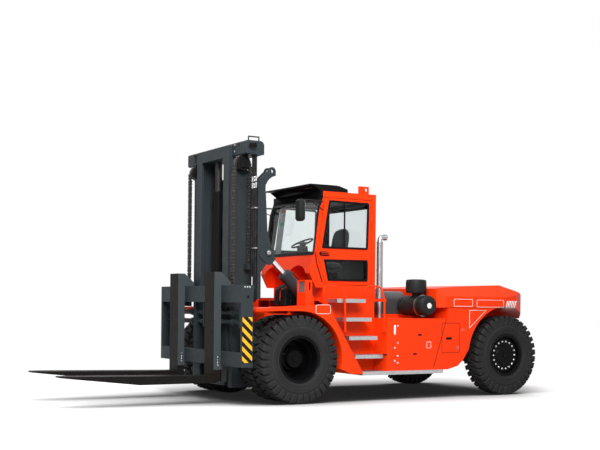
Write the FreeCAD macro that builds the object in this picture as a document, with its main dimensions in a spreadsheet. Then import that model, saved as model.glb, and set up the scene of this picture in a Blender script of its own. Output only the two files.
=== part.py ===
import FreeCAD, Part
import math
import os
import re
import Sketcher
from FreeCAD import Rotation, Vector

# Heavy diesel forklift with twin drive tyres, a two-stage mast and a centre cab.
# Vehicle axes: +X left, -Y forward (forks), +Z up, floor at Z 0, front axle at Y 0.
# The finished pieces are moved along Y so that the part's box is centred on the origin.

SIZES = {
    # wheels and axles
    "wheel_base": 4180, "tyre_radius": 685, "tyre_width": 375, "rim_radius": 343,
    "bead_width": 290, "tread_width": 300, "wall_radius": 600, "wall_low": 430,
    "lug_count": 34, "lug_deep": 50, "notch_wide": 46, "notch_foot": 26, "notch_in": 60,
    "outer_tyre": 1370, "inner_tyre": 925, "rear_tyre": 1320, "rim_wall": 33,
    "rim_width": 330, "spindle_radius": 90, "fit_gap": 0.3, "hub_radius": 190, "rear_hub": 88,
    "drive_disc": 1147, "disc_thick": 40, "hub_length": 250, "hub_nose": 130,
    "cap_thick": 30, "axle_radius": 125, "diff_radius": 235, "diff_half": 230,
    "brake_radius": 240, "brake_in": 640, "brake_out": 760,
    "king_x": 1050, "swing_radius": 850, "king_radius": 40, "knuckle_radius": 85, "knuckle_half": 95,
    "ear_thick": 55, "beam_depth": 230, "rear_spindle": 60, "steer_seat": 150,
    "rear_disc": 1395, "steer_barrel": 65, "steer_y": 215, "steer_half": 430,
    # frame
    "rail_in": 560, "rail_thick": 40, "rail_low": 430, "rail_high": 1380,
    "rail_front": -250, "rail_short": 780, "tail_in": 400, "tail_low": 900,
    "tail_frame": 290, "tie_thick": 40, "pivot_y": -330, "pivot_z": 800,
    "pivot_radius": 45, "lug_radius": 80,
    "tilt_x": 930, "tilt_y": 470, "tilt_z": 1600, "eye_half": 46, "cheek_gap": 6,
    "cheek_thick": 30, "shelf_low": 1420, "shelf_thick": 60, "shelf_y": 330,
    "shelf_depth": 270, "cheek_reach": 85, "deck_thick": 50,
    "deck_half": 1130, "deck_front": 560, "deck_rear": 1880,
    # bodywork
    "body_out": 1500, "tail_corner": 600, "tail_flat": 150, "body_in": 610, "tank_low": 470, "tank_high": 1320,
    "tank_front": 1640, "seam_low_share": 0.62, "seam_high_share": 0.689, "panel_high": 1500,
    "seam_gap": 0.3, "step_back": 1130, "fender_out": 1560,
    "arch_gap": 60, "fender_front": -790, "fender_nose": -640, "fender_top": 1460, "fender_rise": 1530,
    "fender_bend": 480, "fender_foot": 1150, "fender_low": 440, "foot_width": 210,
    "fender_sheet": 40, "strip_low": 410, "strip_short": 90,
    "post_in": 1190, "post_out": 1450, "post_front": 130, "post_rear": 250,
    "post_high": 1910, "post_wall": 30, "lamp_thick": 50, "lamp_set": 12, "lamp_side": 170,
    "lamp_top": 20,
    "weight_share": 0.651, "weight_low": 1320, "tail_over": 800, "weight_high": 1900,
    "nose_drop": 80, "nose_in": 110, "tail_slope": 800, "crease_z": 1690, "crease_drop": 60, "crease_in": 220,
    "skirt_half": 390, "skirt_over": 320, "skirt_low": 560,
    "tow_slot": 130, "tow_z": 800, "tow_pin": 30, "tow_deep": 260,
    # steps and rails
    "step_rise": 297, "step_low": 675, "step_thick": 60, "step_depth": 300,
    "step_front": 1080, "step_run": 118, "step_length": 540, "tube": 20,
    "hoop_high": 1830, "hoop_bend": 75, "hoop_front": 860, "hoop_rear": 1240, "hoop_foot": 1100,
    # cab
    "cab_half": 820, "arch_x": 400, "arch_z": 1790, "arch_radius": 385, "arch_sheet": 30, "screen_edge": 45,
    "cab_wall": 60, "cab_rear": 1870, "cab_low": 1640,
    "cab_seam": 3300, "cab_high": 3380, "door_rear": 1780, "door_gap": 8,
    "glass_thick": 8, "hinge_out": 14, "hinge_low": 420, "hinge_high": 1240, "knuckle_long": 110,
    "grip_out": 35, "grip_long": 140, "grip_high": 35, "screen_low": 740, "screen_top": 90,
    "window_in": 130, "window_low": 800, "ear_in": 200, "ear_wide": 30, "ear_long": 200,
    "ear_high": 150, "eye_in": 60, "eye_high": 95, "roof_eye": 28,
    "mirror_rod": 12, "mirror_out": 30, "mirror_reach": 250, "mirror_root": 235,
    "mirror_half": 95, "mirror_tall": 310, "mirror_thick": 40,
    "visor_front": 620, "visor_rear": 1350,
    "visor_half": 750, "visor_thick": 25, "visor_high": 3495,
    "seat_half": 250, "seat_y": 1420, "seat_high": 2250, "cushion_thick": 140, "back_high": 560,
    "wheel_tilt": 25, "steer_radius": 190, "steer_rim": 14, "steer_hub": 45, "console_half": 90,
    "wheel_at": 370, "wheel_high": 930,
    # engine bay
    "hood_front": 1930, "hood_gap": 60,
    "hood_high": 1775, "hood_bend": 170, "hood_sheet": 20, "engine_half": 400, "engine_low": 700,
    "engine_high": 1560, "can_radius": 150, "band_count": 6, "can_in": 900, "can_out": 1450,
    "can_fore": 190, "can_z": 1520, "drum_radius": 175, "drum_x": 1100,
    "drum_low": 1760, "drum_high": 1975, "pipe_radius": 80,
    "stack_x": 720, "stack_y": 2025, "stack_radius": 55, "stack_high": 2680,
    "rib_count": 20, "rib_pitch": 44, "rib_deep": 6, "cap_radius": 130,
    # mast
    "outer_web": 710, "outer_in": 590, "web_thick": 30, "outer_front": -760,
    "outer_rear": -420, "flange": 40, "outer_low": 220, "outer_high": 3600,
    "inner_web": 575, "inner_in": 400, "inner_front": -780, "inner_rear": -440,
    "inner_low": 300, "beam_half_x": 1066, "beam_front": -720, "beam_rear": -410,
    "beam_deep": 210, "beam_high": 4050, "roller_thick": 60, "roller_play": 0.3,
    "beam_edge": 18, "beam_turn": 60, "keyhole_x": 800, "keyhole_radius": 42, "keyhole_slot": 20,
    "keyhole_long": 110, "keyhole_deep": 14, "port_half": 40, "port_long": 35, "loop_radius": 11,
    "loop_high": 62, "tie_gap": 8, "tie_depth": 50, "side_low": 1600, "lift_x": 170, "lift_y": -580,
    "lift_radius": 82, "lift_bore": 62, "lift_rod": 61.7, "lift_low": 280,
    "lift_high": 3350, "rod_low": 1050, "chain_x": 810, "chain_half": 40,
    "sheave_radius": 110, "sheave_y": -660, "sheave_drop": 130, "chain_thick": 50,
    "link_pitch": 50.8, "link_waist": 34, "link_edge": 12, "anchor_drop": 250, "anchor_thick": 80,
    "anchor_z": 2150, "hose_x": 1002, "hose_y": -570, "hose_radius": 14, "hose_pitch": 38,
    "hose_count": 4, "bracket_thick": 40, "bracket_edge": 26,
    # carriage and forks
    "plate_half": 1500, "plate_front": -1000, "plate_thick": 90, "plate_high": 1813,
    "plate_low": 582, "bar_top": 260, "bar_low": 215, "end_thick": 40,
    "end_rear": -810, "ride_in": 290, "ride_thick": 90, "ride_rear": -520, "ride_roller": 200,
    "hook_deep": 90, "hook_thick": 75, "hook_rise": 60, "toe_deep": 60, "toe_thick": 40,
    "toe_wide": 60, "hook_clear": 10, "holder_thick": 40, "holder_in": 260, "holder_drop": 80,
    "slide_radius": 38, "slide_y": -850, "slide_low_z": 1245, "slide_high_z": 1390,
    "fork_front": -1120, "fork_length": 2400, "fork_width": 330, "fork_thick": 110,
    "heel_low": 312, "heel_land": 60, "fork_rise": 42, "tip_thick": 20, "tip_width": 190, "tip_long": 230,
    "flat_share": 0.5, "shank_high": 2020, "left_fork": 645,
    "right_fork": -695, "fork_play": 0.3,
    # tilt cylinders
    "barrel_radius": 98, "barrel_bore": 56, "tilt_rod": 44, "barrel_length": 600,
    "mast_pin_y": -300, "mast_pin_z": 2330, "wing_nose": 80, "wing_deep": 310, "hook_neck": 70,
    "hook_y": -235, "hook_z": 3605, "hook_radius": 65, "hook_bend": 220, "hook_bore": 27,
    "eye_radius": 70, "eye_bore": 34, "boss_wall": 20, "boss_long": 15, "bracket_plate": 20,
    "bore_floor": 130, "rod_hidden": 200, "gland": 60,
}

# sizes that follow from others, spelt out once
DERIVED = {
    "tail_y": "wheel_base + tail_over",
    "middle": "(wheel_base + tail_over + fork_front - fork_length) / 2",
    "rail_rear": "wheel_base - rail_short",
    "tail_rear": "wheel_base + tail_frame",
    "skirt_front": "wheel_base + skirt_over",
    "seam_low_y": "wheel_base * seam_low_share",
    "seam_high_y": "wheel_base * seam_high_share",
    "weight_front": "wheel_base * weight_share",
    "strip_rear": "wheel_base * seam_high_share - strip_short",
    "hood_rear": "wheel_base * weight_share - hood_gap",
    "can_y": "wheel_base * weight_share - can_fore",
    "deck_top": "cab_low - seam_gap",
    "strip_high": "tank_low - seam_gap",
    "hood_low": "rail_high + seam_gap",
    "hood_half": "rail_in + rail_thick",
    "hand_x": "step_back + step_depth + tube + fit_gap",
    "beam_low": "beam_high - beam_deep",
    "sheave_z": "beam_low - sheave_drop",
    "lip_in": "plate_half + 6",
    "cheek_in": "tilt_x - eye_half - cheek_gap - cheek_thick",
    "cheek_out": "tilt_x + eye_half + cheek_gap",
    "fender_in": "cheek_out + cheek_thick + seam_gap",
}

DOC = FreeCAD.newDocument("Forklift")
SHEET = DOC.addObject("Spreadsheet::Sheet", "Sizes")
for row, (alias, number) in enumerate(SIZES.items(), start=1):
    SHEET.set("A%d" % row, alias)
    SHEET.set("B%d" % row, str(number))
    SHEET.setAlias("B%d" % row, alias)
DOC.recompute()

FINISHED = []


def tied(text):
    """The same sum, with each size named as a cell of the sheet."""
    return re.sub(r"[a-z_]+", lambda word: name_of(word.group()), str(text))


def name_of(word):
    if word in DERIVED:
        return "(%s)" % tied(DERIVED[word])
    return "Sizes." + word if word in SIZES else word


def value(text):
    """The present value of a sum of sizes."""
    return float(SHEET.evalExpression(tied(text)))


def bind(thing, prop, text):
    thing.setExpression(prop, tied(text))


def place(thing, x="0", y="0", z="0"):
    for axis, text in zip("xyz", (x, y, z)):
        bind(thing, "Placement.Base." + axis, text)


def box(x, y, z):
    """A block; x, y and z are each a pair of sums, low and high."""
    block = DOC.addObject("Part::Box", "Block")
    for prop, (low, high) in zip(("Length", "Width", "Height"), (x, y, z)):
        bind(block, prop, "(%s) - (%s)" % (high, low))
    place(block, x[0], y[0], z[0])
    return block


def on(side, low, high):
    """The span low to high on the left (1), or its mirror on the right (-1)."""
    return (low, high) if side > 0 else ("-(%s)" % high, "-(%s)" % low)


def rod(axis, centre, radius, span):
    """A round bar along X, Y or Z; centre holds the other two places, in order."""
    bar = DOC.addObject("Part::Cylinder", "Bar")
    bind(bar, "Radius", radius)
    bind(bar, "Height", "(%s) - (%s)" % (span[1], span[0]))
    spin = {"X": Rotation(Vector(0, 1, 0), 90), "Y": Rotation(Vector(1, 0, 0), -90)}
    bar.Placement.Rotation = spin.get(axis, Rotation())
    where = list(centre)
    where.insert("XYZ".index(axis), span[0])
    place(bar, *where)
    return bar


def origin_plane(body, role):
    return next(p for p in body.Origin.OriginFeatures if p.Role == role)


def sketch(body, plane, points, offset="0"):
    """A closed outline whose corners are all bound to the sheet."""
    drawing = body.newObject("Sketcher::SketchObject", "Outline")
    drawing.AttachmentSupport = (origin_plane(body, plane + "_Plane"), [""])
    drawing.MapMode = "FlatFace"
    bind(drawing, "AttachmentOffset.Base.z", offset)
    places = [Vector(value(a), value(b), 0) for a, b in points]
    for start, end in zip(places, places[1:] + places[:1]):
        drawing.addGeometry(Part.LineSegment(start, end), False)
    count = len(points)
    for side in range(count):
        drawing.addConstraint(Sketcher.Constraint("Coincident", side, 2, (side + 1) % count, 1))
    for side, (across, along) in enumerate(points):
        for kind, text in (("DistanceX", across), ("DistanceY", along)):
            rule = Sketcher.Constraint(kind, -1, 1, side, 1, value(text))
            number = drawing.addConstraint(rule)
            bind(drawing, "Constraints[%d]" % number, text)
    return drawing


def profile(plane, points, span):
    """A padded outline on the YZ, XZ or XY plane, from span's low to its high place."""
    body = DOC.addObject("PartDesign::Body", "Profile")
    low = span[0] if plane != "XZ" else "-(%s)" % span[1]
    drawing = sketch(body, plane, points, low)
    pad = body.newObject("PartDesign::Pad", "Pad")
    pad.Profile = drawing
    bind(pad, "Length", "(%s) - (%s)" % (span[1], span[0]))
    return body


def turned(points):
    """A revolved outline: each point is a place along X and a radius from that axis."""
    body = DOC.addObject("PartDesign::Body", "Turning")
    drawing = sketch(body, "XY", points)
    turn = body.newObject("PartDesign::Revolution", "Turn")
    turn.Profile = drawing
    turn.ReferenceAxis = (drawing, ["H_Axis"])
    turn.Angle = 360
    return body


def notched(body, points, low, high, turn, count):
    """Cuts an outline on the YZ plane between two places along X, and repeats the cut about X."""
    drawing = sketch(body, "YZ", points, low)
    drawing.AttachmentOffset.Rotation = Rotation(Vector(0, 0, 1), value(turn))
    bind(drawing, "AttachmentOffset.Rotation.Angle", turn)
    notch = body.newObject("PartDesign::Pocket", "Notch")
    notch.Profile = drawing
    notch.Reversed = True
    bind(notch, "Length", "(%s) - (%s)" % (high, low))
    ring = body.newObject("PartDesign::PolarPattern", "Ring")
    ring.Originals = [notch]
    ring.Axis = (drawing, ["N_Axis"])
    ring.Angle = 360
    bind(ring, "Occurrences", count)
    body.Tip = ring
    return body


def ball(radius, x, y, z):
    round_corner = DOC.addObject("Part::Sphere", "Ball")
    bind(round_corner, "Radius", radius)
    place(round_corner, x, y, z)
    return round_corner


def fuse(*pieces):
    joined = DOC.addObject("Part::MultiFuse", "Joined")
    joined.Shapes = list(pieces)
    joined.Refine = True
    return joined


def cut(base, *tools):
    for tool in tools:
        left = DOC.addObject("Part::Cut", "Left")
        left.Base = base
        left.Tool = tool
        base = left
    return base


def common(first, second):
    both = DOC.addObject("Part::Common", "Both")
    both.Base = first
    both.Tool = second
    return both


def group(*pieces):
    loose = DOC.addObject("Part::Compound", "Loose")
    loose.Links = list(pieces)
    return loose


def flipped(piece):
    """The same piece on the other side of the truck."""
    other = DOC.addObject("Part::Mirroring", "Mirror")
    other.Source = piece
    other.Normal = Vector(1, 0, 0)
    return other


def both_sides(piece):
    return piece, flipped(piece)


def finish(label, piece, x="0", y="0", z="0"):
    """Names a finished piece and sets it in the part's own frame."""
    piece.Label = label
    place(piece, x, "(%s) - middle" % y, z)
    FINISHED.append(piece)
    return piece


def finish_mirror(label, piece):
    other = flipped(piece)
    other.Label = label
    FINISHED.append(other)


def pair(name, piece, x="0", y="0", z="0"):
    left = finish(name + "_left", piece, x, y, z)
    finish_mirror(name + "_right", left)


# --- wheels -------------------------------------------------------------------

def tyre_outline(centre):
    half = {name: name + " / 2" for name in ("bead_width", "tyre_width", "tread_width")}
    right = [("bead_width", "rim_radius"), ("tyre_width", "wall_low"),
             ("tyre_width", "wall_radius"), ("tread_width", "tyre_radius")]
    outline = [("%s + %s" % (centre, half[w]), r) for w, r in right]
    outline += [("%s - %s" % (centre, half[w]), r) for w, r in reversed(right)]
    return outline


def tyre(centre):
    """A tyre with a ring of notches on each shoulder, the two rings half a step apart."""
    foot, top = "tyre_radius - lug_deep", "tyre_radius + 5"
    notch = [("-notch_foot / 2", foot), ("notch_foot / 2", foot), ("notch_wide / 2", top),
             ("-notch_wide / 2", top)]
    body = turned(tyre_outline(centre))
    notched(body, notch, centre + " + notch_in", centre + " + tyre_width / 2 + 5", "0", "lug_count")
    return notched(body, notch, centre + " - tyre_width / 2 - 5", centre + " - notch_in",
                   "180 / lug_count", "lug_count")


def front_wheels():
    tyres = group(tyre("outer_tyre"), tyre("inner_tyre"))
    barrel = "rim_radius - rim_wall"
    disc_in, disc_out = "drive_disc - disc_thick / 2", "drive_disc + disc_thick / 2"
    rim_in, rim_out = "inner_tyre - rim_width / 2", "outer_tyre + rim_width / 2"
    nose = "drive_disc + hub_length"
    bore = "spindle_radius + fit_gap"
    rims = turned([
        ("drive_disc - hub_nose", bore), ("drive_disc - hub_nose", "hub_radius"),
        (disc_in, "hub_radius"), (disc_in, barrel), (rim_in, barrel),
        (rim_in, "rim_radius"), (rim_out, "rim_radius"), (rim_out, barrel),
        (disc_out, barrel), (disc_out, "hub_radius"),
        ("drive_disc + hub_nose", "hub_radius"), (nose, "hub_radius - 50"),
        (nose, "0"), (nose + " - cap_thick", "0"), (nose + " - cap_thick", bore)])
    pair("front_tyres", tyres, z="tyre_radius")
    pair("front_rims", rims, z="tyre_radius")


def rear_wheels():
    barrel = "rim_radius - rim_wall"
    low, high = "rear_tyre - rim_width / 2", "rear_tyre + rim_width / 2"
    bore = "rear_spindle + fit_gap"
    face = "rear_disc + disc_thick"
    rim = turned([
        (low + " + 20", bore), (low + " + 20", "rear_hub"),
        ("rear_disc", "rear_hub"), ("rear_disc", barrel), (low, barrel),
        (low, "rim_radius"), (high, "rim_radius"), (high, barrel), (face, barrel),
        (face, "0"), (face + " - cap_thick", "0"), (face + " - cap_thick", bore)])
    pair("rear_tyre", tyre("rear_tyre"), y="wheel_base", z="tyre_radius")
    pair("rear_rim", rim, y="wheel_base", z="tyre_radius")


def front_axle():
    end = "drive_disc + hub_length - cap_thick - 5"
    right = [("diff_half / 2", "diff_radius"), ("diff_half", "axle_radius"),
             ("brake_in", "axle_radius"), ("brake_in", "brake_radius"),
             ("brake_out", "brake_radius"), ("brake_out", "spindle_radius"),
             (end, "spindle_radius"), (end, "0")]
    left = [("-(%s)" % x, r) for x, r in reversed(right)]
    finish("front_axle", turned(left + right), z="tyre_radius")


def rear_axle():
    low, high = "wheel_base - beam_depth / 2", "wheel_base + beam_depth / 2"
    z = "tyre_radius"
    ear_low = z + " - knuckle_half - fit_gap - ear_thick"
    ear_high = z + " + knuckle_half + fit_gap + ear_thick"
    end = "king_x + knuckle_radius"
    slot_in = "king_x - knuckle_radius - 15"
    beam = box(("-(%s)" % end, end), (low, high), (ear_low, ear_high))
    cuts = []
    for side in (1, -1):
        span = on(side, slot_in, end + " + 10")
        cuts.append(box(span, (low + " - 5", high + " + 5"),
                        (z + " - knuckle_half - fit_gap", z + " + knuckle_half + fit_gap")))
        cuts.append(rod("Z", ("%d * king_x" % side, "wheel_base"), "king_radius + fit_gap",
                        (ear_low + " - 5", ear_high + " + 5")))
    steer = rod("X", ("wheel_base + steer_y", z), "steer_barrel",
                ("-steer_half", "steer_half"))
    seat = box(("-steer_seat", "steer_seat"), (high + " - 1", "wheel_base + steer_y"),
               (z + " - 50", z + " + 50"))
    finish("rear_axle", fuse(cut(beam, *cuts), steer, seat))


def knuckle():
    z = "tyre_radius"
    half, ear = "knuckle_half", "knuckle_half + fit_gap + ear_thick"
    post = rod("Z", ("king_x", "wheel_base"), "knuckle_radius", (z + " - " + half, z + " + " + half))
    pin = rod("Z", ("king_x", "wheel_base"), "king_radius", (z + " - (%s)" % ear, z + " + " + ear))
    spindle = rod("X", ("wheel_base", z), "rear_spindle",
                  ("king_x", "rear_disc + disc_thick - cap_thick - 5"))
    pair("knuckle", fuse(post, pin, spindle))


# --- frame and bodywork ---------------------------------------------------------

def chassis_frame():
    rails = []
    for side in (1, -1):
        span = on(side, "rail_in", "rail_in + rail_thick")
        outline = [("rail_front", "rail_low"), ("rail_rear", "rail_low"),
                   ("rail_rear", "rail_high"), ("rail_front + 150", "rail_high"),
                   ("rail_front", "rail_high - 350")]
        rails.append(profile("YZ", outline, span))
        span = on(side, "tail_in", "tail_in + rail_thick")
        tail = [("rail_rear - tie_thick", "tail_low"), ("tail_rear", "tail_low"),
                ("tail_rear", "rail_high"), ("rail_rear - tie_thick", "rail_high")]
        rails.append(profile("YZ", tail, span))
        rails.append(box(span, ("wheel_base - beam_depth / 2", "wheel_base + beam_depth / 2"),
                         ("tyre_radius + knuckle_half + fit_gap + ear_thick", "tail_low")))
        rails.append(rod("X", ("pivot_y", "pivot_z"), "lug_radius",
                         on(side, "rail_in", "rail_in + rail_thick")))
    full = ("-rail_in", "rail_in")
    rails.append(box(full, ("rail_rear - tie_thick", "rail_rear"), ("rail_low", "rail_high")))
    rails.append(box(full, ("hood_front - 2 * tie_thick", "hood_front - tie_thick"),
                     ("rail_low", "rail_high")))
    rails.append(box(full, ("rail_front + 150", "rail_front + 150 + tie_thick"),
                     ("rail_high - 250", "rail_high")))
    holes = [rod("X", ("0", "tyre_radius"), "axle_radius + fit_gap",
                 ("-rail_in - rail_thick - 5", "rail_in + rail_thick + 5")),
             rod("X", ("pivot_y", "pivot_z"), "pivot_radius + fit_gap",
                 ("-rail_in - rail_thick - 5", "rail_in + rail_thick + 5"))]
    shelves = []
    for side in (1, -1):
        span = on(side, "rail_in", "cheek_out + cheek_thick")
        shelves.append(box(span, ("shelf_y", "shelf_y + shelf_depth"),
                           ("shelf_low", "shelf_low + shelf_thick")))
        span = on(side, "rail_in", "rail_in + rail_thick")
        shelves.append(box(span, ("shelf_y", "shelf_y + shelf_depth"),
                           ("rail_high - 1", "shelf_low + 1")))
        for inner in ("cheek_in", "cheek_out"):
            span = on(side, inner, inner + " + cheek_thick")
            cheek = [("tilt_y - cheek_reach", "shelf_low + 10"),
                     ("tilt_y + cheek_reach", "shelf_low + 10"),
                     ("tilt_y + cheek_reach", "tilt_z + cheek_reach / 2"),
                     ("tilt_y + cheek_reach / 2", "tilt_z + cheek_reach"),
                     ("tilt_y - cheek_reach / 2", "tilt_z + cheek_reach"),
                     ("tilt_y - cheek_reach", "tilt_z + cheek_reach / 2")]
            shelves.append(cut(profile("YZ", cheek, span),
                               rod("X", ("tilt_y", "tilt_z"), "eye_bore + fit_gap",
                                   ("(%s) - 5" % span[0], "(%s) + 5" % span[1]))))
    frame = cut(fuse(*rails), *holes)
    finish("chassis_frame", fuse(frame, *shelves))


def cab_deck():
    deck = box(("-deck_half", "deck_half"), ("deck_front", "deck_rear"),
               ("deck_top - deck_thick", "deck_top"))
    legs = []
    for side in (1, -1):
        span = on(side, "rail_in", "rail_in + rail_thick")
        legs.append(box(span, ("shelf_y + shelf_depth + 20", "deck_rear"),
                        ("rail_high", "deck_top - deck_thick + 1")))
        span = on(side, "step_back - 40", "step_back")
        wall = [("deck_front + 40", "deck_top - 10"), ("tank_front", "deck_top - 10"),
                ("tank_front", "tank_low"), ("fender_foot + 60", "tank_low")]
        legs.append(profile("YZ", wall, span))
        span = on(side, "rail_in + rail_thick", "step_back - 30")
        legs.append(box(span, ("tank_front - 60", "tank_front"), ("tank_low", "deck_top - 10")))
    finish("cab_deck", fuse(deck, *legs))


def fender():
    arch = "tyre_radius + arch_gap"
    outline = [("fender_front", "fender_top - fender_sheet"), ("fender_front", "fender_top"),
               ("0", "fender_top + fender_sheet"), ("fender_bend", "fender_rise"),
               ("fender_foot", "fender_low"), ("fender_foot - foot_width", "fender_low"),
               ("tyre_radius / 2", "tyre_radius"),
               ("0", "tyre_radius + %s" % arch), ("fender_front / 2", "tyre_radius + %s" % arch)]
    sheet = profile("YZ", outline, ("fender_in", "fender_out"))
    hollow = rod("X", ("0", "tyre_radius"), arch, ("fender_in - 5", "fender_out + 5"))
    post = box(("post_in", "post_out"), ("post_front", "post_rear"),
               ("fender_top", "post_high"))
    pocket = box(("post_in + post_wall", "post_out - post_wall"),
                 ("post_front - 5", "post_front + lamp_thick"),
                 ("post_high - lamp_side - lamp_top", "post_high - lamp_top"))
    window = box(("post_out - 25", "post_out + 5"), ("post_front + lamp_thick + 10", "post_rear - 25"),
                 ("post_high - lamp_side + 20", "post_high - 35"))
    nose = profile("XY", [("fender_in - 5", "fender_front - 5"), ("lip_in", "fender_front - 5"),
                          ("lip_in", "fender_nose"),
                          ("fender_in - 5", "fender_nose")], ("tyre_radius", "post_high"))
    pair("fender", cut(fuse(cut(sheet, hollow, nose), post), pocket, window))
    lamp = box(("post_in + post_wall + fit_gap", "post_out - post_wall - fit_gap"),
               ("post_front + lamp_set", "post_front + lamp_thick - fit_gap"),
               ("post_high - lamp_side - lamp_top + fit_gap", "post_high - lamp_top - fit_gap"))
    finish("head_lamps", group(*both_sides(lamp)))


def side_body():
    outline = [("tank_front + seam_gap", "tank_low"), ("seam_low_y", "tank_low"),
               ("seam_high_y", "tank_high"), ("tank_front + seam_gap", "tank_high")]
    pair("tank", profile("YZ", outline, ("body_in", "body_out")))
    panel = [("seam_low_y + seam_gap", "tank_low"), ("rail_rear - 520", "tank_low"),
             ("rail_rear - 300", "tank_low + 55"), ("rail_rear - 190", "tank_low + 150"),
             ("rail_rear - 65", "tyre_radius + 115"), ("wheel_base", "tyre_radius + 115"),
             ("wheel_base", "panel_high"), ("seam_high_y + seam_gap", "panel_high"),
             ("seam_high_y + seam_gap", "tank_high")]
    panels = profile("YZ", panel, ("body_in", "body_out"))
    pair("rear_panel", cut(panels, wheel_arch("body_in - 5", "body_out + 5")))


def wheel_arch(low, high):
    """The round space over a rear wheel, wide enough for the tyre as it steers."""
    return rod("X", ("wheel_base", "tyre_radius"), "swing_radius", (low, high))


def counterweight():
    foot = "panel_high + seam_gap"
    side = [("weight_front", foot), ("weight_front", "weight_high - nose_drop"),
            ("weight_front + 240", "weight_high - nose_drop + 25"),
            ("tail_y - tail_slope", "weight_high"), ("tail_y", "crease_z - crease_drop"),
            ("tail_y", foot), ("tail_y - 100", "weight_low"), ("tail_y - 300", "weight_low"),
            ("wheel_base", "weight_low"), ("wheel_base", foot)]
    body = profile("YZ", side, ("-body_out", "body_out"))
    right = [("body_out - nose_in", "weight_front"), ("body_out", "weight_front + nose_in"),
             ("body_out", "tail_y - 830"), ("body_out - 40", "tail_y - 560"),
             ("body_out - 170", "tail_y - 340"), ("body_out - 440", "tail_y - 150"),
             ("tail_corner", "tail_y - 40"), ("tail_flat", "tail_y")]
    left = [("-(%s)" % x, y) for x, y in reversed(right)]
    plan = profile("XY", right + left, ("weight_low", "weight_high"))
    slope = [("body_out - 130", "weight_low"), ("body_out", foot), ("body_out", "crease_z"),
             ("body_out - crease_in", "weight_high")]
    across = profile("XZ", slope + [("-(%s)" % x, z) for x, z in reversed(slope)], ("weight_front", "tail_y"))
    shaped = cut(common(common(body, plan), across), wheel_arch("-body_out - 5", "body_out + 5"))
    skirt = box(("-skirt_half", "skirt_half"), ("skirt_front", "tail_y - 60"),
                ("skirt_low", foot))
    slot = box(("-skirt_half - 5", "skirt_half + 5"), ("tail_y - 60 - tow_deep", "tail_y"),
               ("tow_z - tow_slot / 2", "tow_z + tow_slot / 2"))
    bore = rod("Z", ("0", "tail_y - 60 - tow_deep / 2"), "tow_pin",
               ("skirt_low - 5", "tow_z + tow_slot"))
    finish("counterweight", fuse(shaped, cut(skirt, slot, bore)))


def steps():
    treads = []
    for number in range(4):
        low = "step_low + %d * step_rise" % number
        front = "step_front - %d * step_run" % number
        treads.append(box(("step_back + fit_gap", "step_back + step_depth"),
                          (front, "%s + step_length" % front), (low, "%s + step_thick" % low)))
    low_strip = box(("step_back - 40", "body_out"), ("fender_foot + 20", "strip_rear"),
                    ("strip_low", "strip_high"))
    finish("steps_left", group(*treads, low_strip))
    finish_mirror("steps_right", FINISHED[-1])


def bend(y, z, turn):
    """A quarter ring of bent tube on the YZ plane, its middle at y and z."""
    ring = DOC.addObject("Part::Torus", "Bend")
    bind(ring, "Radius1", "hoop_bend")
    bind(ring, "Radius2", "tube")
    ring.Angle3 = 90
    ring.Placement.Rotation = Rotation(Vector(0, turn, 0), Vector(0, 0, 1), Vector(turn, 0, 0), "XYZ")
    place(ring, "hand_x", y, z)
    return ring


def hoop(front, front_foot, rear, rear_foot):
    """A bent tube with two legs and round corners, standing just outside the treads."""
    level = "hoop_high - hoop_bend"
    legs = [rod("Z", ("hand_x", y), "tube", (foot, level))
            for y, foot in ((front, front_foot), (rear, rear_foot))]
    bar = rod("Y", ("hand_x", "hoop_high"), "tube", (front + " + hoop_bend", rear + " - hoop_bend"))
    return fuse(*legs, bar, bend(front + " + hoop_bend", level, -1), bend(rear + " - hoop_bend", level, 1))


def hand_rails():
    front = hoop("fender_bend - tube", "fender_rise + fit_gap", "hoop_front", "hoop_foot")
    rear = hoop("hoop_rear", "cab_low - step_thick", "tank_front - tube - fit_gap", "hoop_foot")
    one = group(front, rear)
    finish("hand_rails", group(*both_sides(one)))


# --- cab ------------------------------------------------------------------------

CAB_OUTLINE = [("deck_front + 280", "cab_low"), ("cab_rear", "cab_low"),
               ("cab_rear", "cab_seam"), ("deck_front + 270", "cab_seam"),
               ("deck_front + 190", "cab_seam - 220"), ("deck_front + 100", "cab_low + 700"),
               ("deck_front + 20", "cab_low + 400"), ("deck_front + 140", "cab_low + 170"),
               ("deck_front + 280", "cab_low + 170")]
ROOM_OUTLINE = [("deck_front + 280 + cab_wall", "cab_low + cab_wall"),
                ("cab_rear - cab_wall", "cab_low + cab_wall"),
                ("cab_rear - cab_wall", "cab_seam + 5"), ("deck_front + 270 + cab_wall", "cab_seam + 5"),
                ("deck_front + 190 + cab_wall", "cab_seam - 220"),
                ("deck_front + 100 + cab_wall", "cab_low + 700"),
                ("deck_front + 60 + cab_wall", "cab_low + 500"),
                ("deck_front + 280 + cab_wall", "cab_low + 300")]
DOOR_OUTLINE = [("deck_front + 330", "cab_low + 220"), ("door_rear", "cab_low + 220"),
                ("door_rear", "cab_seam - 25"), ("deck_front + 300", "cab_seam - 25"),
                ("deck_front + 165", "cab_low + 710")]
UPPER_PANE = [("deck_front + 250", "cab_low + 810"), ("door_rear - 70", "cab_low + 810"),
              ("door_rear - 50", "cab_seam - 70"), ("deck_front + 380", "cab_seam - 60")]
LOWER_PANE = [("deck_front + 370", "cab_low + 280"), ("door_rear - 70", "cab_low + 280"),
              ("door_rear - 70", "cab_low + 640"), ("deck_front + 285", "cab_low + 630")]


def grown(points, middle, amount):
    """The outline moved out from its middle by an amount along both axes."""
    moved = []
    for across, along in points:
        signs = ["+" if value(t) > value(m) else "-" for t, m in zip((across, along), middle)]
        moved.append(("%s %s %s" % (across, signs[0], amount), "%s %s %s" % (along, signs[1], amount)))
    return moved


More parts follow.
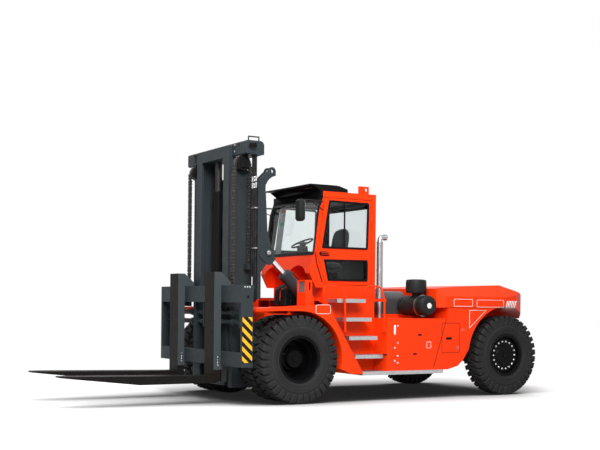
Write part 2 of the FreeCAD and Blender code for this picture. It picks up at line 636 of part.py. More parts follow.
HINGE_LINE = ("cab_half + hinge_out - 2", "door_rear - 6")
HINGE_LEVELS = ("hinge_low", "hinge_high")


def fixed_hinges():
    """The cab's own halves of the door hinges, just above the door's."""
    leaves = []
    for level in HINGE_LEVELS:
        foot = "cab_low + %s + knuckle_long + fit_gap" % level
        span = (foot, foot + " + knuckle_long / 2")
        leaves.append(rod("Z", HINGE_LINE, "hinge_out - 2 - seam_gap", span))
        leaves.append(box(("cab_half + seam_gap", "cab_half + hinge_out - 2"),
                          ("door_rear - 6", "door_rear + 45"), span))
        leaves.append(box(("cab_half - 1", "cab_half + hinge_out - 2"),
                          ("door_rear + door_gap + 2", "door_rear + 45"), span))
    return leaves


def cab_shell():
    outer = profile("YZ", CAB_OUTLINE, ("-cab_half", "cab_half"))
    room = profile("YZ", ROOM_OUTLINE, ("-cab_half + cab_wall", "cab_half - cab_wall"))
    middle = ("deck_front + 700", "cab_low + 800")
    doorway = profile("YZ", grown(DOOR_OUTLINE, middle, "door_gap"),
                      ("cab_half - cab_wall - 5", "cab_half + 5"))
    panes = [profile("YZ", pane, ("-cab_half - 5", "-cab_half + cab_wall + 5"))
             for pane in (UPPER_PANE, LOWER_PANE)]
    front = box(("-cab_half + screen_edge", "cab_half - screen_edge"),
                ("deck_front - 50", "deck_front + 400"),
                ("cab_low + screen_low", "cab_seam - screen_top"))
    rear = box(("-cab_half + window_in", "cab_half - window_in"), ("cab_rear - cab_wall - 5", "cab_rear + 5"),
               ("cab_low + window_low", "cab_seam - screen_top"))
    arches, liners = [], []
    for side in (1, -1):
        centre = ("%d * arch_x" % side, "arch_z")
        arches.append(rod("Y", centre, "arch_radius", ("deck_front - 20", "deck_front + 279")))
        hood = rod("Y", centre, "arch_radius + arch_sheet",
                   ("deck_front + 30", "deck_front + 279 + arch_sheet"))
        liners.append(common(hood, outer))
    walls = cut(fuse(cut(outer, room, *panes, front, rear), *liners), doorway, *arches)
    finish("cab_shell", fuse(walls, *fixed_hinges()))


def cab_roof():
    cap = box(("-cab_half", "cab_half"), ("deck_front + 265", "cab_rear"),
              ("cab_seam + seam_gap", "cab_high"))
    ear = box(("cab_half - ear_in - ear_wide", "cab_half - ear_in"),
              ("cab_rear - 10 - ear_long", "cab_rear - 10"), ("cab_high - 5", "cab_high + ear_high"))
    eye = rod("X", ("cab_rear - eye_in", "cab_high + eye_high"), "roof_eye",
              ("cab_half - ear_in - ear_wide - 5", "cab_half - ear_in + 5"))
    finish("cab_roof", fuse(cap, *both_sides(cut(ear, eye))))


def visor():
    sheet = [("visor_front", "visor_high"), ("visor_front + 530", "visor_high"),
             ("visor_front + 530", "visor_high - visor_thick"),
             ("visor_front", "visor_high - visor_thick")]
    top = profile("YZ", sheet, ("-visor_half", "visor_half"))
    cheek = [("visor_front + 60", "visor_high - 5"), ("visor_front + 560", "visor_high - 5"),
             ("visor_rear", "cab_high + 60"), ("visor_rear", "cab_high + seam_gap"),
             ("visor_front + 220", "cab_high + seam_gap")]
    sides = both_sides(profile("YZ", cheek, ("visor_half - visor_thick", "visor_half")))
    finish("roof_visor", fuse(top, *sides))


def door():
    leaf = profile("YZ", DOOR_OUTLINE, ("cab_half - cab_wall", "cab_half"))
    panes = [profile("YZ", pane, ("cab_half - cab_wall - 5", "cab_half + 5"))
             for pane in (UPPER_PANE, LOWER_PANE)]
    grip = box(("cab_half - 1", "cab_half + grip_out"),
               ("deck_front + 230", "deck_front + 230 + grip_long"),
               ("cab_low + screen_low - grip_high", "cab_low + screen_low"))
    hinges = [rod("Z", HINGE_LINE, "hinge_out", ("cab_low + %s" % low, "cab_low + %s + knuckle_long" % low))
              for low in HINGE_LEVELS]
    finish("cab_door", fuse(cut(leaf, *panes), grip, *hinges))
    glass = [profile("YZ", pane, ("cab_half - cab_wall / 2", "cab_half - cab_wall / 2 + glass_thick"))
             for pane in (UPPER_PANE, LOWER_PANE)]
    finish("door_glass", group(*glass))


def cab_glass():
    panes = [profile("YZ", pane, ("-cab_half + cab_wall / 2", "-cab_half + cab_wall / 2 + glass_thick"))
             for pane in (UPPER_PANE, LOWER_PANE)]
    rear = box(("-cab_half + window_in", "cab_half - window_in"),
               ("cab_rear - cab_wall / 2", "cab_rear - cab_wall / 2 + glass_thick"),
               ("cab_low + window_low", "cab_seam - screen_top"))
    face, back = "deck_front + cab_wall / 2", "deck_front + cab_wall / 2 + glass_thick"
    slope = [(face + " + 106", "cab_low + screen_low"), (back + " + 106", "cab_low + screen_low"),
             (back + " + 190", "cab_seam - 220"), (back + " + 237", "cab_seam - screen_top"),
             (face + " + 237", "cab_seam - screen_top"), (face + " + 190", "cab_seam - 220")]
    front = profile("YZ", slope, ("-cab_half + screen_edge", "cab_half - screen_edge"))
    finish("cab_glass", group(*panes, rear, front))


def seat():
    floor = "cab_low + cab_wall + fit_gap"
    base = box(("-seat_half + 60", "seat_half - 60"), ("seat_y - 150", "seat_y + 150"),
               (floor, "seat_high - cushion_thick + 10"))
    cushion = box(("-seat_half", "seat_half"), ("seat_y - 270", "seat_y + 200"),
                  ("seat_high - cushion_thick", "seat_high"))
    back = [("seat_y + 120", "seat_high - 60"), ("seat_y + 240", "seat_high - 60"),
            ("seat_y + 330", "seat_high + back_high"), ("seat_y + 240", "seat_high + back_high + 30")]
    finish("driver_seat", fuse(base, cushion, profile("YZ", back, ("-seat_half + 20", "seat_half - 20"))))


def steering():
    console = [("deck_front + 380", "cab_low + cab_wall + fit_gap"),
               ("deck_front + 510", "cab_low + cab_wall + fit_gap"),
               ("deck_front + 420", "cab_low + 880"), ("deck_front + 320", "cab_low + 860")]
    column = profile("YZ", console, ("-console_half", "console_half"))
    rim = DOC.addObject("Part::Torus", "Rim")
    bind(rim, "Radius1", "steer_radius")
    bind(rim, "Radius2", "steer_rim")
    spokes = box(("-steer_radius", "steer_radius"), ("-18", "18"), ("-8", "8"))
    hub = rod("Z", ("0", "0"), "steer_hub", ("-60", "12"))
    wheel = fuse(rim, spokes, hub)
    wheel.Placement.Rotation = Rotation(Vector(1, 0, 0), SIZES["wheel_tilt"])
    place(wheel, "0", "deck_front + wheel_at", "cab_low + wheel_high")
    finish("steering_column", fuse(column, wheel))


def mirrors():
    x, z = "cab_half + mirror_out", "cab_seam - screen_top"
    arm = rod("Y", (x, z), "mirror_rod", ("deck_front - mirror_reach", "deck_front + mirror_root"))
    root = rod("X", ("deck_front + mirror_root", z), "mirror_rod", ("cab_half + fit_gap", x))
    pane = box(("cab_half + 10", "cab_half + 10 + 2 * mirror_half"),
               ("deck_front - mirror_reach + 5 - mirror_thick", "deck_front - mirror_reach + 5"),
               (z + " - mirror_tall", z))
    finish("mirrors", group(*both_sides(fuse(arm, root, pane))))


# --- engine bay -------------------------------------------------------------------

def engine():
    block = box(("-engine_half", "engine_half"), ("hood_front + 40", "weight_front + 500"),
                ("engine_low", "panel_high - 200"))
    head = box(("-engine_half / 2", "engine_half / 2"), ("hood_front + 40", "hood_rear - 60"),
               ("panel_high - 210", "engine_high"))
    mounts = [box(("engine_half - 5", "rail_in"), ("hood_front + 150", "hood_front + 250"),
                  ("engine_low + 100", "engine_low + 200"))]
    mounts.append(flipped(mounts[0]))
    finish("engine_block", fuse(block, head, *mounts))


def hood():
    shell = cut(domed("hood_half", "hood_low", "hood_high", "hood_bend", ("hood_front", "hood_rear")),
                domed("(hood_half - hood_sheet)", "hood_low - 5", "(hood_high - hood_sheet)",
                      "(hood_bend - hood_sheet)", ("hood_front + hood_sheet", "hood_rear - hood_sheet")))
    finish("engine_hood", shell)


def domed(half, low, high, radius, span):
    """A long block whose two top edges are round."""
    block = box(("-" + half, half), span, (low, high + " - " + radius))
    top = box(("-%s + %s" % (half, radius), "%s - %s" % (half, radius)), span, (low, high))
    edges = [rod("Y", ("%s * (%s - %s)" % (side, half, radius), "%s - %s" % (high, radius)), radius, span)
             for side in (1, -1)]
    return fuse(block, top, *edges)


def air_cleaner():
    can = rod("X", ("can_y", "can_z"), "can_radius - rib_deep", ("can_in", "can_out - rib_pitch"))
    bands = [rod("X", ("can_y", "can_z"), "can_radius", ("can_in + %d * 2 * rib_pitch" % n,
                                                         "can_in + %d * 2 * rib_pitch + rib_pitch" % n))
             for n in range(SIZES["band_count"])]
    for radius, end in (("cap_radius", "can_out - rib_pitch / 3"), ("cap_radius / 2", "can_out")):
        bands.append(rod("X", ("can_y", "can_z"), radius, ("can_out - rib_pitch - 1", end)))
    neck = rod("Z", ("drum_x", "can_y"), "pipe_radius", ("can_z", "drum_low + 5"))
    drum = rod("Z", ("drum_x", "can_y"), "drum_radius", ("drum_low", "drum_high - rib_pitch"))
    hat = rod("Z", ("drum_x", "can_y"), "cap_radius", ("drum_high - rib_pitch - 1", "drum_high"))
    feet = [box((x, x + " + 30"), ("can_y - 110", "can_y + 110"),
                ("tank_high + seam_gap", "can_z - can_radius / 2")) for x in ("can_in + 80", "can_out - 110")]
    finish("air_cleaner", fuse(can, *bands, neck, drum, hat, *feet))


def exhaust():
    pipe = rod("Z", ("stack_x", "stack_y"), "stack_radius - rib_deep", ("tank_high + seam_gap", "stack_high"))
    elbow = rod("Y", ("stack_x", "stack_high"), "stack_radius - rib_deep", ("stack_y", "stack_y + 130"))
    lip = rod("Y", ("stack_x", "stack_high"), "stack_radius", ("stack_y + 100", "stack_y + 130"))
    ribs = []
    for number in range(SIZES["rib_count"]):
        low = "cab_low + 60 + %d * rib_pitch" % number
        ribs.append(rod("Z", ("stack_x", "stack_y"), "stack_radius", (low, low + " + rib_pitch / 2")))
    finish("exhaust_stack", fuse(pipe, elbow, lip, *ribs,
                                 ball("stack_radius - rib_deep", "stack_x", "stack_y", "stack_high")))


# --- mast -------------------------------------------------------------------------

def channel(web, inner, front, rear, low, high):
    """A C-section upright on the left, open towards the middle."""
    outline = [(web, front), (web, rear), (inner, rear), (inner, rear + " - flange"),
               (web + " - web_thick", rear + " - flange"), (web + " - web_thick", front + " + flange"),
               (inner, front + " + flange"), (inner, front)]
    return profile("XY", outline, (low, high))


def outer_mast():
    upright = channel("outer_web", "outer_in", "outer_front", "outer_rear", "outer_low", "outer_high")
    near, far = "cheek_in", "cheek_out"
    wing = [("outer_rear", "side_low"), ("outer_rear", "mast_pin_z - wing_deep"),
            ("mast_pin_y + wing_nose", "mast_pin_z - wing_nose / 2"),
            ("mast_pin_y + wing_nose", "mast_pin_z + wing_nose / 2"),
            ("outer_rear + 110", "mast_pin_z + 350"), ("outer_rear + hook_neck", "hook_z - hook_bend"),
            ("hook_y + hook_radius", "hook_z - hook_radius"), ("hook_y + hook_radius", "hook_z"),
            ("hook_y", "hook_z + hook_radius"), ("outer_rear + 130", "outer_high + 20"),
            ("outer_rear - 60", "outer_high - 160"), ("outer_rear - 60", "side_low")]
    crook = ("outer_rear + hook_neck + hook_bend", "hook_z - hook_bend - hook_radius")
    wings = []
    for low in (near, far):
        plate = (low, low + " + cheek_thick")
        past = (low + " - 5", low + " + cheek_thick + 5")
        tip = rod("X", ("hook_y", "hook_z"), "hook_radius", plate)
        wings.append(cut(fuse(profile("YZ", wing, plate), tip), rod("X", crook, "hook_bend", past),
                         rod("X", ("hook_y", "hook_z"), "hook_bore", past)))
    pin_y, pin_z = "mast_pin_y", "mast_pin_z"
    bracket = [(pin_y + " - 165", pin_z + " - 20"), (pin_y + " - 105", pin_z + " + 55"),
               (pin_y + " + 45", pin_z + " + 58"), (pin_y + " + 130", pin_z + " - 90"),
               (pin_y + " + 75", pin_z + " - 165"), (pin_y + " + 15", pin_z + " - 195"),
               (pin_y + " - 45", pin_z + " - 150"), (pin_y + " - 155", pin_z + " - 60")]
    outside = far + " + cheek_thick"
    face = outside + " + bracket_plate"
    bosses = [rod("X", (pin_y, pin_z), "eye_bore + boss_wall", span) for span in
              ((near + " - boss_long", near + " + 1"), (face + " - 1", face + " + boss_long"))]
    bosses.append(profile("YZ", bracket, (outside + " - 1", face)))
    back = ("outer_rear - 50", "outer_rear - 10")
    ribs = [box(("outer_web - 1", near + " + 1"), back, (low, low + " + 120"))
            for low in ("side_low + 30", "mast_pin_z + 100", "outer_high - 300")]
    ties = [box((near + " + 1", far + " + 1"), back, (low, low + " + 120"))
            for low in ("side_low + 30", "mast_pin_z + 300", "outer_high - 300")]
    anchor = box(("outer_web - 1", "chain_x + chain_half + 8"),
                 ("sheave_y + sheave_radius - 20", "sheave_y + sheave_radius + chain_thick + 10"),
                 ("anchor_z - anchor_thick", "anchor_z"))
    foot = [("outer_rear - 20", "pivot_z - 190"), ("pivot_y + 40", "pivot_z - 90"),
            ("pivot_y + 90", "pivot_z"), ("pivot_y + 40", "pivot_z + 90"),
            ("outer_rear - 20", "pivot_z + 190")]
    feet = [profile("YZ", foot, ("rail_in + rail_thick + 6", "outer_web")),
            rod("X", ("pivot_y", "pivot_z"), "pivot_radius", ("rail_in - 5", "rail_in + rail_thick + 7"))]
    left = fuse(upright, *wings, *bosses, *ribs, *ties, anchor, *feet)
    back = ("inner_rear + tie_gap", "inner_rear + tie_gap + tie_depth")
    reach = ("-outer_web + 1", "outer_web - 1")
    bridges = [box(reach, back, (low, low + " + 200"))
               for low in ("outer_low", "side_low - 250", "mast_pin_z + 250", "outer_high - 220")]
    shelf = box(("-lift_x - lift_radius - 20", "lift_x + lift_radius + 20"),
                ("lift_y - lift_radius", "inner_rear + tie_gap + 1"), ("outer_low", "lift_low - fit_gap"))
    finish("outer_mast", fuse(*both_sides(left), *bridges, shelf))


def crossmember():
    """The mast's top beam, with its keyholes, its oval hose port, its hose bracket and guard loop."""
    front, rear = "beam_front", "beam_rear"
    outline = [(front + " + beam_edge", "beam_low"), (rear, "beam_low"), (rear, "beam_high - beam_turn"),
               (rear + " - beam_turn / 3", "beam_high - beam_turn / 3"), (rear + " - beam_turn", "beam_high"),
               (front + " + beam_edge", "beam_high"), (front, "beam_high - beam_edge"),
               (front, "beam_low + beam_edge")]
    beam = profile("YZ", outline, ("-beam_half_x", "beam_half_x"))
    level = "beam_high - beam_edge - keyhole_radius"
    middle = "(beam_front + beam_rear) / 2"
    cuts = []
    for side in (1, -1):
        x = "%d * keyhole_x" % side
        deep = (front + " - 5", front + " + keyhole_deep")
        cuts.append(rod("Y", (x, level), "keyhole_radius", deep))
        cuts.append(box((x + " - keyhole_slot", x + " + keyhole_slot"), deep,
                        (level + " - keyhole_long", level)))
        inside = on(side, "beam_half_x - keyhole_deep", "beam_half_x + 5")
        port = "(beam_low + beam_high) / 2"
        cuts += [rod("X", (middle, port + end), "port_half", inside)
                 for end in (" - port_long", " + port_long")]
        cuts.append(box(inside, (middle + " - port_half", middle + " + port_half"),
                        (port + " - port_long", port + " + port_long")))
    bracket = box(("beam_half_x - 2 * hose_pitch", "hose_x + hose_count * hose_pitch - hose_radius"),
                  ("hose_y - bracket_edge", "hose_y + bracket_edge"),
                  ("beam_low - bracket_thick", "beam_low + 1"))
    x, top = "beam_half_x - bracket_edge - loop_radius", "beam_high + loop_high"
    feet = (front + " + 2 * bracket_edge", rear + " - 3 * bracket_edge")
    legs = [rod("Z", (x, y), "loop_radius", ("beam_high - beam_turn", top)) for y in feet]
    bar = rod("Y", (x, top), "loop_radius", feet)
    corners = [ball("loop_radius", x, y, top) for y in feet]
    return fuse(cut(beam, *cuts), bracket, *legs, bar, *corners)


def inner_mast():
    upright = channel("inner_web", "inner_in", "inner_front", "inner_rear", "inner_low", "beam_low + 1")
    gap = "(outer_rear - outer_front) / 2 - flange - roller_play"
    middle = "(outer_rear + outer_front) / 2"
    rollers = [rod("X", (middle, z), gap, ("inner_web - 1", "inner_web + roller_thick + 25"))
               for z in ("inner_low + 200", "inner_low + 900")]
    sheave = rod("X", ("sheave_y", "sheave_z"), "sheave_radius",
                 ("chain_x - chain_half - 20", "chain_x + chain_half + 20"))
    hanger = box(("chain_x + chain_half + 19", "chain_x + chain_half + 49"),
                 ("sheave_y - 60", "sheave_y + 60"), ("sheave_z - 60", "beam_low + 1"))
    left = fuse(upright, *rollers, sheave, hanger)
    face = box(("-inner_web", "inner_web"), ("inner_front", "beam_front + 1"), ("beam_low", "beam_high - 30"))
    tie = [box(("-inner_in - 5", "inner_in + 5"), ("inner_rear - flange", "inner_rear - 2"),
               (low, low + " + 180")) for low in ("inner_low + 130", "side_low + 300")]
    finish("inner_mast", fuse(*both_sides(left), crossmember(), face, *tie))


def lift_cylinders():
    barrel = cut(rod("Z", ("lift_x", "lift_y"), "lift_radius", ("lift_low", "lift_high")),
                 rod("Z", ("lift_x", "lift_y"), "lift_bore", ("lift_low + 60", "lift_high + 5")))
    finish("lift_barrels", group(*both_sides(barrel)))
    ram = rod("Z", ("lift_x", "lift_y"), "lift_rod", ("rod_low", "beam_low"))
    finish("lift_rods", group(*both_sides(ram)))


def link_row(body, y, foot, length, half, start):
    """Every second link of a hanging chain: one padded link, repeated upwards by two pitches."""
    low, high = "%s + %s" % (foot, start), "%s + %s + link_pitch + link_waist" % (foot, start)
    edge = "chain_thick / 2"
    drawing = sketch(body, "YZ", [
        ("%s - %s + link_edge" % (y, edge), low), ("%s + %s - link_edge" % (y, edge), low),
        ("%s + %s" % (y, edge), low + " + link_edge"), ("%s + %s" % (y, edge), high + " - link_edge"),
        ("%s + %s - link_edge" % (y, edge), high), ("%s - %s + link_edge" % (y, edge), high),
        ("%s - %s" % (y, edge), high + " - link_edge"), ("%s - %s" % (y, edge), low + " + link_edge")],
        "chain_x - " + half)
    link = body.newObject("PartDesign::Pad", "Link")
    link.Profile = drawing
    bind(link, "Length", "2 * (%s)" % half)
    row = body.newObject("PartDesign::LinearPattern", "Row")
    row.Originals = [link]
    row.Direction = (drawing, ["V_Axis"])
    steps = "floor((%s - %s - link_waist) / (2 * link_pitch) - 0.5)" % (length, start)
    bind(row, "Length", "2 * link_pitch * " + steps)
    bind(row, "Occurrences", steps + " + 1")
    body.Tip = row


def hanging_chain(y, foot):
    """A strand from its anchor's level up to the sheave: wide links with narrow links between."""
    body = DOC.addObject("PartDesign::Body", "Chain")
    length = "(sheave_z - (%s))" % foot
    link_row(body, y, foot, length, "chain_half", "0")
    link_row(body, y, foot, length, "(chain_half - link_edge)", "link_pitch")
    return body


def lift_chains():
    reach = "sheave_radius + fit_gap + chain_thick / 2"
    down = hanging_chain("sheave_y - %s" % reach.replace(" + ", " - "), "plate_high - anchor_drop")
    up = hanging_chain("sheave_y + " + reach, "anchor_z + fit_gap")
    finish("carriage_chains", group(*both_sides(down)))
    finish("anchor_chains", group(*both_sides(up)))


def carriage():
    rear = "plate_front + plate_thick"
    wide = ("-plate_half", "plate_half")
    top = box(wide, ("plate_front", rear), ("plate_high - bar_top", "plate_high"))
    low = box(wide, ("plate_front", rear), ("plate_low", "plate_low + bar_low"))
    ends = both_sides(box(("plate_half - end_thick", "plate_half"), ("plate_front", "end_rear"),
                          ("plate_low", "plate_high")))
    ride = box(("ride_in", "ride_in + ride_thick"), (rear + " - 1", "ride_rear"),
               ("plate_low + toe_deep + hook_clear", "plate_high - hook_deep - hook_clear"))
    middle = "(inner_rear + inner_front) / 2"
    size = "(inner_rear - inner_front) / 2 - flange - roller_play"
    wheels = [rod("X", (middle, z), size, ("ride_in + ride_thick - 1", "inner_web - web_thick - 5"))
              for z in ("plate_low + ride_roller", "plate_high - ride_roller")]
    anchor = box(("chain_x - chain_half - 15", "chain_x + chain_half + 15"),
                 (rear + " - 1", "sheave_y - sheave_radius"),
                 ("plate_high - anchor_drop - anchor_thick", "plate_high - anchor_drop - fit_gap"))
    side = fuse(ride, *wheels, anchor)
    holders = [box((x, x + " + holder_thick"), (rear + " - 1", "slide_y + slide_radius + 20"),
                   ("slide_low_z - holder_drop", "plate_high - bar_top + 1"))
               for x in ("-holder_thick / 2", "plate_half - holder_in")]
    bars = [rod("X", ("slide_y", z), "slide_radius", ("end_thick - plate_half", "plate_half - end_thick"))
            for z in ("slide_low_z", "slide_high_z")]
    finish("carriage", fuse(top, low, *ends, *both_sides(side), *holders, flipped(holders[1]), *bars))


def fork(label, centre):
    half = "fork_width / 2"
    x = ("%s - %s" % (centre, half), "%s + %s" % (centre, half))
    back = "plate_front - fork_play"
    toe = "fork_front - fork_length"
    top = "heel_low + fork_thick + fork_rise"
    blade = [(back, "shank_high"), ("fork_front", "shank_high"),
             ("fork_front", "heel_low + fork_thick"), ("fork_front - heel_land", "heel_low + fork_thick"),
             (toe, top), (toe, top + " - tip_thick"),
             ("fork_front - fork_length * flat_share", "heel_low"),
             ("fork_front + 40", "heel_low"), (back, "heel_low + 40")]
    near, far = "%s + tip_width / 2" % centre, "%s - tip_width / 2" % centre
    plan = [(x[1], back), (x[1], toe + " + tip_long"), (near, toe), (far, toe), (x[0], toe + " + tip_long"),
            (x[0], back)]
    tine = common(profile("YZ", blade, x), profile("XY", plan, ("heel_low", "shank_high")))
    arm = ("%s + %s - toe_wide" % (centre, half), "%s + %s" % (centre, half))
    hook_rear = "plate_front + plate_thick + hook_thick"
    hook = [(back + " - 1", "plate_high + fork_play"), (back + " - 1", "shank_high"),
            (hook_rear, "plate_high + hook_rise"), (hook_rear, "plate_high - hook_deep"),
            ("plate_front + plate_thick + fork_play", "plate_high - hook_deep"),
            ("plate_front + plate_thick + fork_play", "plate_high + fork_play")]
    toe_rear = "plate_front + plate_thick + toe_thick"
    low_hook = [(back + " - 1", "plate_low - fork_play"), (back + " - 1", "plate_low - toe_deep"),
                (toe_rear, "plate_low - toe_deep"), (toe_rear, "plate_low + toe_deep"),
                ("plate_front + plate_thick + fork_play", "plate_low + toe_deep"),
                ("plate_front + plate_thick + fork_play", "plate_low - fork_play")]
    finish(label, fuse(tine, profile("YZ", hook, x), profile("YZ", low_hook, arm)))


def tilt_cylinder():
    """Drawn along the line from its rear pin to the pin on the mast."""
    reach = "sqrt((mast_pin_y - tilt_y) ^ 2 + (mast_pin_z - tilt_z) ^ 2)"
    eye = "eye_half"
    barrel = rod("Y", ("0", "0"), "barrel_radius", ("bore_floor - 30", "barrel_length"))
    tail = rod("X", ("0", "0"), "eye_radius", ("-" + eye, eye))
    neck = box(("-" + eye, eye), ("0", "bore_floor"), ("-eye_radius + 10", "eye_radius - 10"))
    bore = rod("Y", ("0", "0"), "barrel_bore", ("bore_floor", "barrel_length - gland"))
    mouth = rod("Y", ("0", "0"), "tilt_rod + fit_gap", ("bore_floor + 5", "barrel_length + 5"))
    pin = rod("X", ("0", "0"), "eye_bore", ("-eye_half - cheek_gap - cheek_thick - 10",
                                            "eye_half + cheek_gap + cheek_thick + 10"))
    sleeve = fuse(cut(fuse(barrel, tail, neck), bore, mouth), pin)
    shaft = rod("Y", ("0", "0"), "tilt_rod", ("barrel_length - rod_hidden", reach + " - eye_radius + 10"))
    eye_ring = cut(rod("X", (reach, "0"), "eye_radius", ("-" + eye, eye)),
                   rod("X", (reach, "0"), "eye_bore", ("-eye_half - 5", "eye_half + 5")))
    for name, piece in (("tilt_barrel", sleeve), ("tilt_rod", fuse(shaft, eye_ring))):
        angle = math.degrees(math.atan2(value("mast_pin_z - tilt_z"), value("mast_pin_y - tilt_y")))
        piece.Placement.Rotation = Rotation(Vector(1, 0, 0), angle)
        pair(name, piece, "tilt_x", "tilt_y", "tilt_z")


def hoses():
    drop = ("side_low + 300", "beam_low - bracket_thick - fit_gap")
    lines = [rod("Z", ("hose_x + %d * hose_pitch" % n, "hose_y"), "hose_radius", drop)
             for n in range(SIZES["hose_count"])]
    finish("mast_hoses", group(*lines))


def check_and_write():
    DOC.recompute()
    for thing in DOC.Objects:
        if "Invalid" in thing.State or "Error" in thing.State:
            raise RuntimeError("%s (%s) failed: %s" % (thing.Name, thing.Label, thing.State))
    os.makedirs("parts", exist_ok=True)
    for piece in FINISHED:
        shape = piece.Shape
        if shape.isNull() or not shape.isValid() or not shape.Solids:
            raise RuntimeError("%s has no valid solid" % piece.Label)
        shape.exportStep("parts/%s.step" % piece.Label)


front_wheels()
rear_wheels()
front_axle()
rear_axle()
knuckle()
chassis_frame()
cab_deck()
fender()
side_body()
counterweight()
steps()
hand_rails()
cab_shell()
cab_roof()
visor()
door()
cab_glass()
seat()
steering()
mirrors()
engine()
hood()
air_cleaner()
exhaust()
outer_mast()
inner_mast()
lift_cylinders()
lift_chains()
carriage()
fork("fork_left", "left_fork")
fork("fork_right", "right_fork")
tilt_cylinder()
hoses()
check_and_write()
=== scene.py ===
"""Dresses the heavy forklift's solids: finishes, tyres, chains, hoses, cab fittings, lights and camera."""

import math
from collections import namedtuple

import bpy
import numpy as np
from mathutils import Matrix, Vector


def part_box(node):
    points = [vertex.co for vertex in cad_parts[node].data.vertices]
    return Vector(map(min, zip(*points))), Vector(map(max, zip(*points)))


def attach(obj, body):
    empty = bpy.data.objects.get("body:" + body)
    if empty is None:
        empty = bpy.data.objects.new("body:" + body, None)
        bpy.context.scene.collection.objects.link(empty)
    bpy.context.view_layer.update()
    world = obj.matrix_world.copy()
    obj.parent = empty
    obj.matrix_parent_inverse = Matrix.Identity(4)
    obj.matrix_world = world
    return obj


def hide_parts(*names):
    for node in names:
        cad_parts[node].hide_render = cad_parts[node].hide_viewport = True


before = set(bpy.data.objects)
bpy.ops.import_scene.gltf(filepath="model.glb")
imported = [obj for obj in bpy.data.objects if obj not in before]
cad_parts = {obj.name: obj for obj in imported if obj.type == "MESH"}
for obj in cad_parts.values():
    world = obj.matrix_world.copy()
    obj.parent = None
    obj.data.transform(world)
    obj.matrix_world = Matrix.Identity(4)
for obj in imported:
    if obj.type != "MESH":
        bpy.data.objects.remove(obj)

bl_info = {
    "name": "Heavy forklift dressing",
    "version": (1, 0, 0),
    "blender": (4, 5, 0),
    "location": "3D View > Sidebar > Forklift",
    "description": "Builds the finishes and fine pieces of a heavy diesel forklift",
    "category": "Object",
}

TAU = 2 * math.pi
LEFT, RIGHT = 1.0, -1.0
ORIGIN = (0, 0, 0)


# --- sizes and colours a user may change ------------------------------------------

def colour(name, description, default):
    return bpy.props.FloatVectorProperty(
        name=name, description=description, default=default, size=3, min=0, max=1, subtype="COLOR")


def length(name, description, default):
    return bpy.props.FloatProperty(
        name=name, description=description, default=default, min=0, unit="LENGTH", subtype="DISTANCE")


def count(name, description, default):
    return bpy.props.IntProperty(name=name, description=description, default=default, min=1)


class ForkliftPaint(bpy.types.PropertyGroup):
    body: colour("Body", "Gloss paint of cab, tanks and counterweight", (0.90, 0.043, 0.004))
    mast: colour("Mast", "Satin paint of mast, carriage and cylinders", (0.026, 0.033, 0.037))
    rims: colour("Rims", "Gloss paint of rims, hubs and axles", (0.0035, 0.0035, 0.004))
    forks: colour("Forks", "Worn dark paint of the forks", (0.0070, 0.0064, 0.0060))
    panel: colour("Hood", "Paint of the engine hood", (0.052, 0.054, 0.057))
    rubber: colour("Rubber", "Tyres and hoses", (0.0165, 0.0167, 0.0172))
    plastic: colour("Plastic", "Visor, mirrors, air cleaner and gaskets", (0.011, 0.0115, 0.012))
    steel: colour("Steel", "Galvanised treads, bolts and pipes", (0.50, 0.51, 0.52))
    warning: colour("Warning", "Yellow of the hazard stripes", (0.80, 0.42, 0.020))
    cloth: colour("Seat cloth", "Woven cover of the driver's seat", (0.028, 0.030, 0.034))


class ForkliftTyres(bpy.types.PropertyGroup):
    lugs: count("Lugs", "Lugs on each shoulder", 34)
    lug_height: length("Lug height", "Depth of the tread between lugs", 0.036)
    lug_width: length("Lug width", "Width of a lug on the tread", 0.098)
    sweep: length("Sweep", "How far a lug slants round the tyre", 0.060)


class ForkliftMast(bpy.types.PropertyGroup):
    link_pitch: length("Link pitch", "Pin spacing of the lift chains", 0.0508)
    hoses: count("Hoses", "Hoses in the bundle beside the mast", 5)
    hose_radius: length("Hose radius", "Outer radius of a mast hose", 0.0125)
    stripe_pitch: length("Stripe pitch", "Spacing of the hazard stripes", 0.146)


class ForkliftCab(bpy.types.PropertyGroup):
    gasket: length("Gasket", "Width of the rubber round each pane", 0.034)
    wheel_radius: length("Wheel radius", "Radius of the steering wheel", 0.190)
    crown: length("Crown", "How far the cushions rise in their middle", 0.035)


# --- shapes as whole arrays -------------------------------------------------------

Shape = namedtuple("Shape", "points corners counts")


def join(*shapes):
    """One shape from several: each one's corner numbers move up by the points before it."""
    starts = np.cumsum([0] + [len(s.points) for s in shapes[:-1]])
    return Shape(np.concatenate([s.points for s in shapes]),
                 np.concatenate([s.corners + n for s, n in zip(shapes, starts)]),
                 np.concatenate([s.counts for s in shapes]))


def surface(points, wrap_rows=False, wrap_cols=True, caps=True):
    """A grid of points (rows, columns, 3) as quads: wrapped columns make rings, caps close the end rings."""
    rows, cols = points.shape[:2]
    index = np.arange(rows * cols).reshape(rows, cols)
    below = np.roll(index, -1, axis=0) if wrap_rows else index[1:]
    here = index if wrap_rows else index[:-1]
    if wrap_cols:
        quads = np.stack([here, np.roll(here, -1, 1), np.roll(below, -1, 1), below], -1)
    else:
        quads = np.stack([here[:, :-1], here[:, 1:], below[:, 1:], below[:, :-1]], -1)
    corners, counts = quads.ravel(), np.full(quads.size // 4, 4)
    if caps and wrap_cols and not wrap_rows:
        corners = np.concatenate([corners, index[0, ::-1], index[-1]])
        counts = np.concatenate([counts, [cols, cols]])
    return Shape(points.reshape(-1, 3), corners, counts)


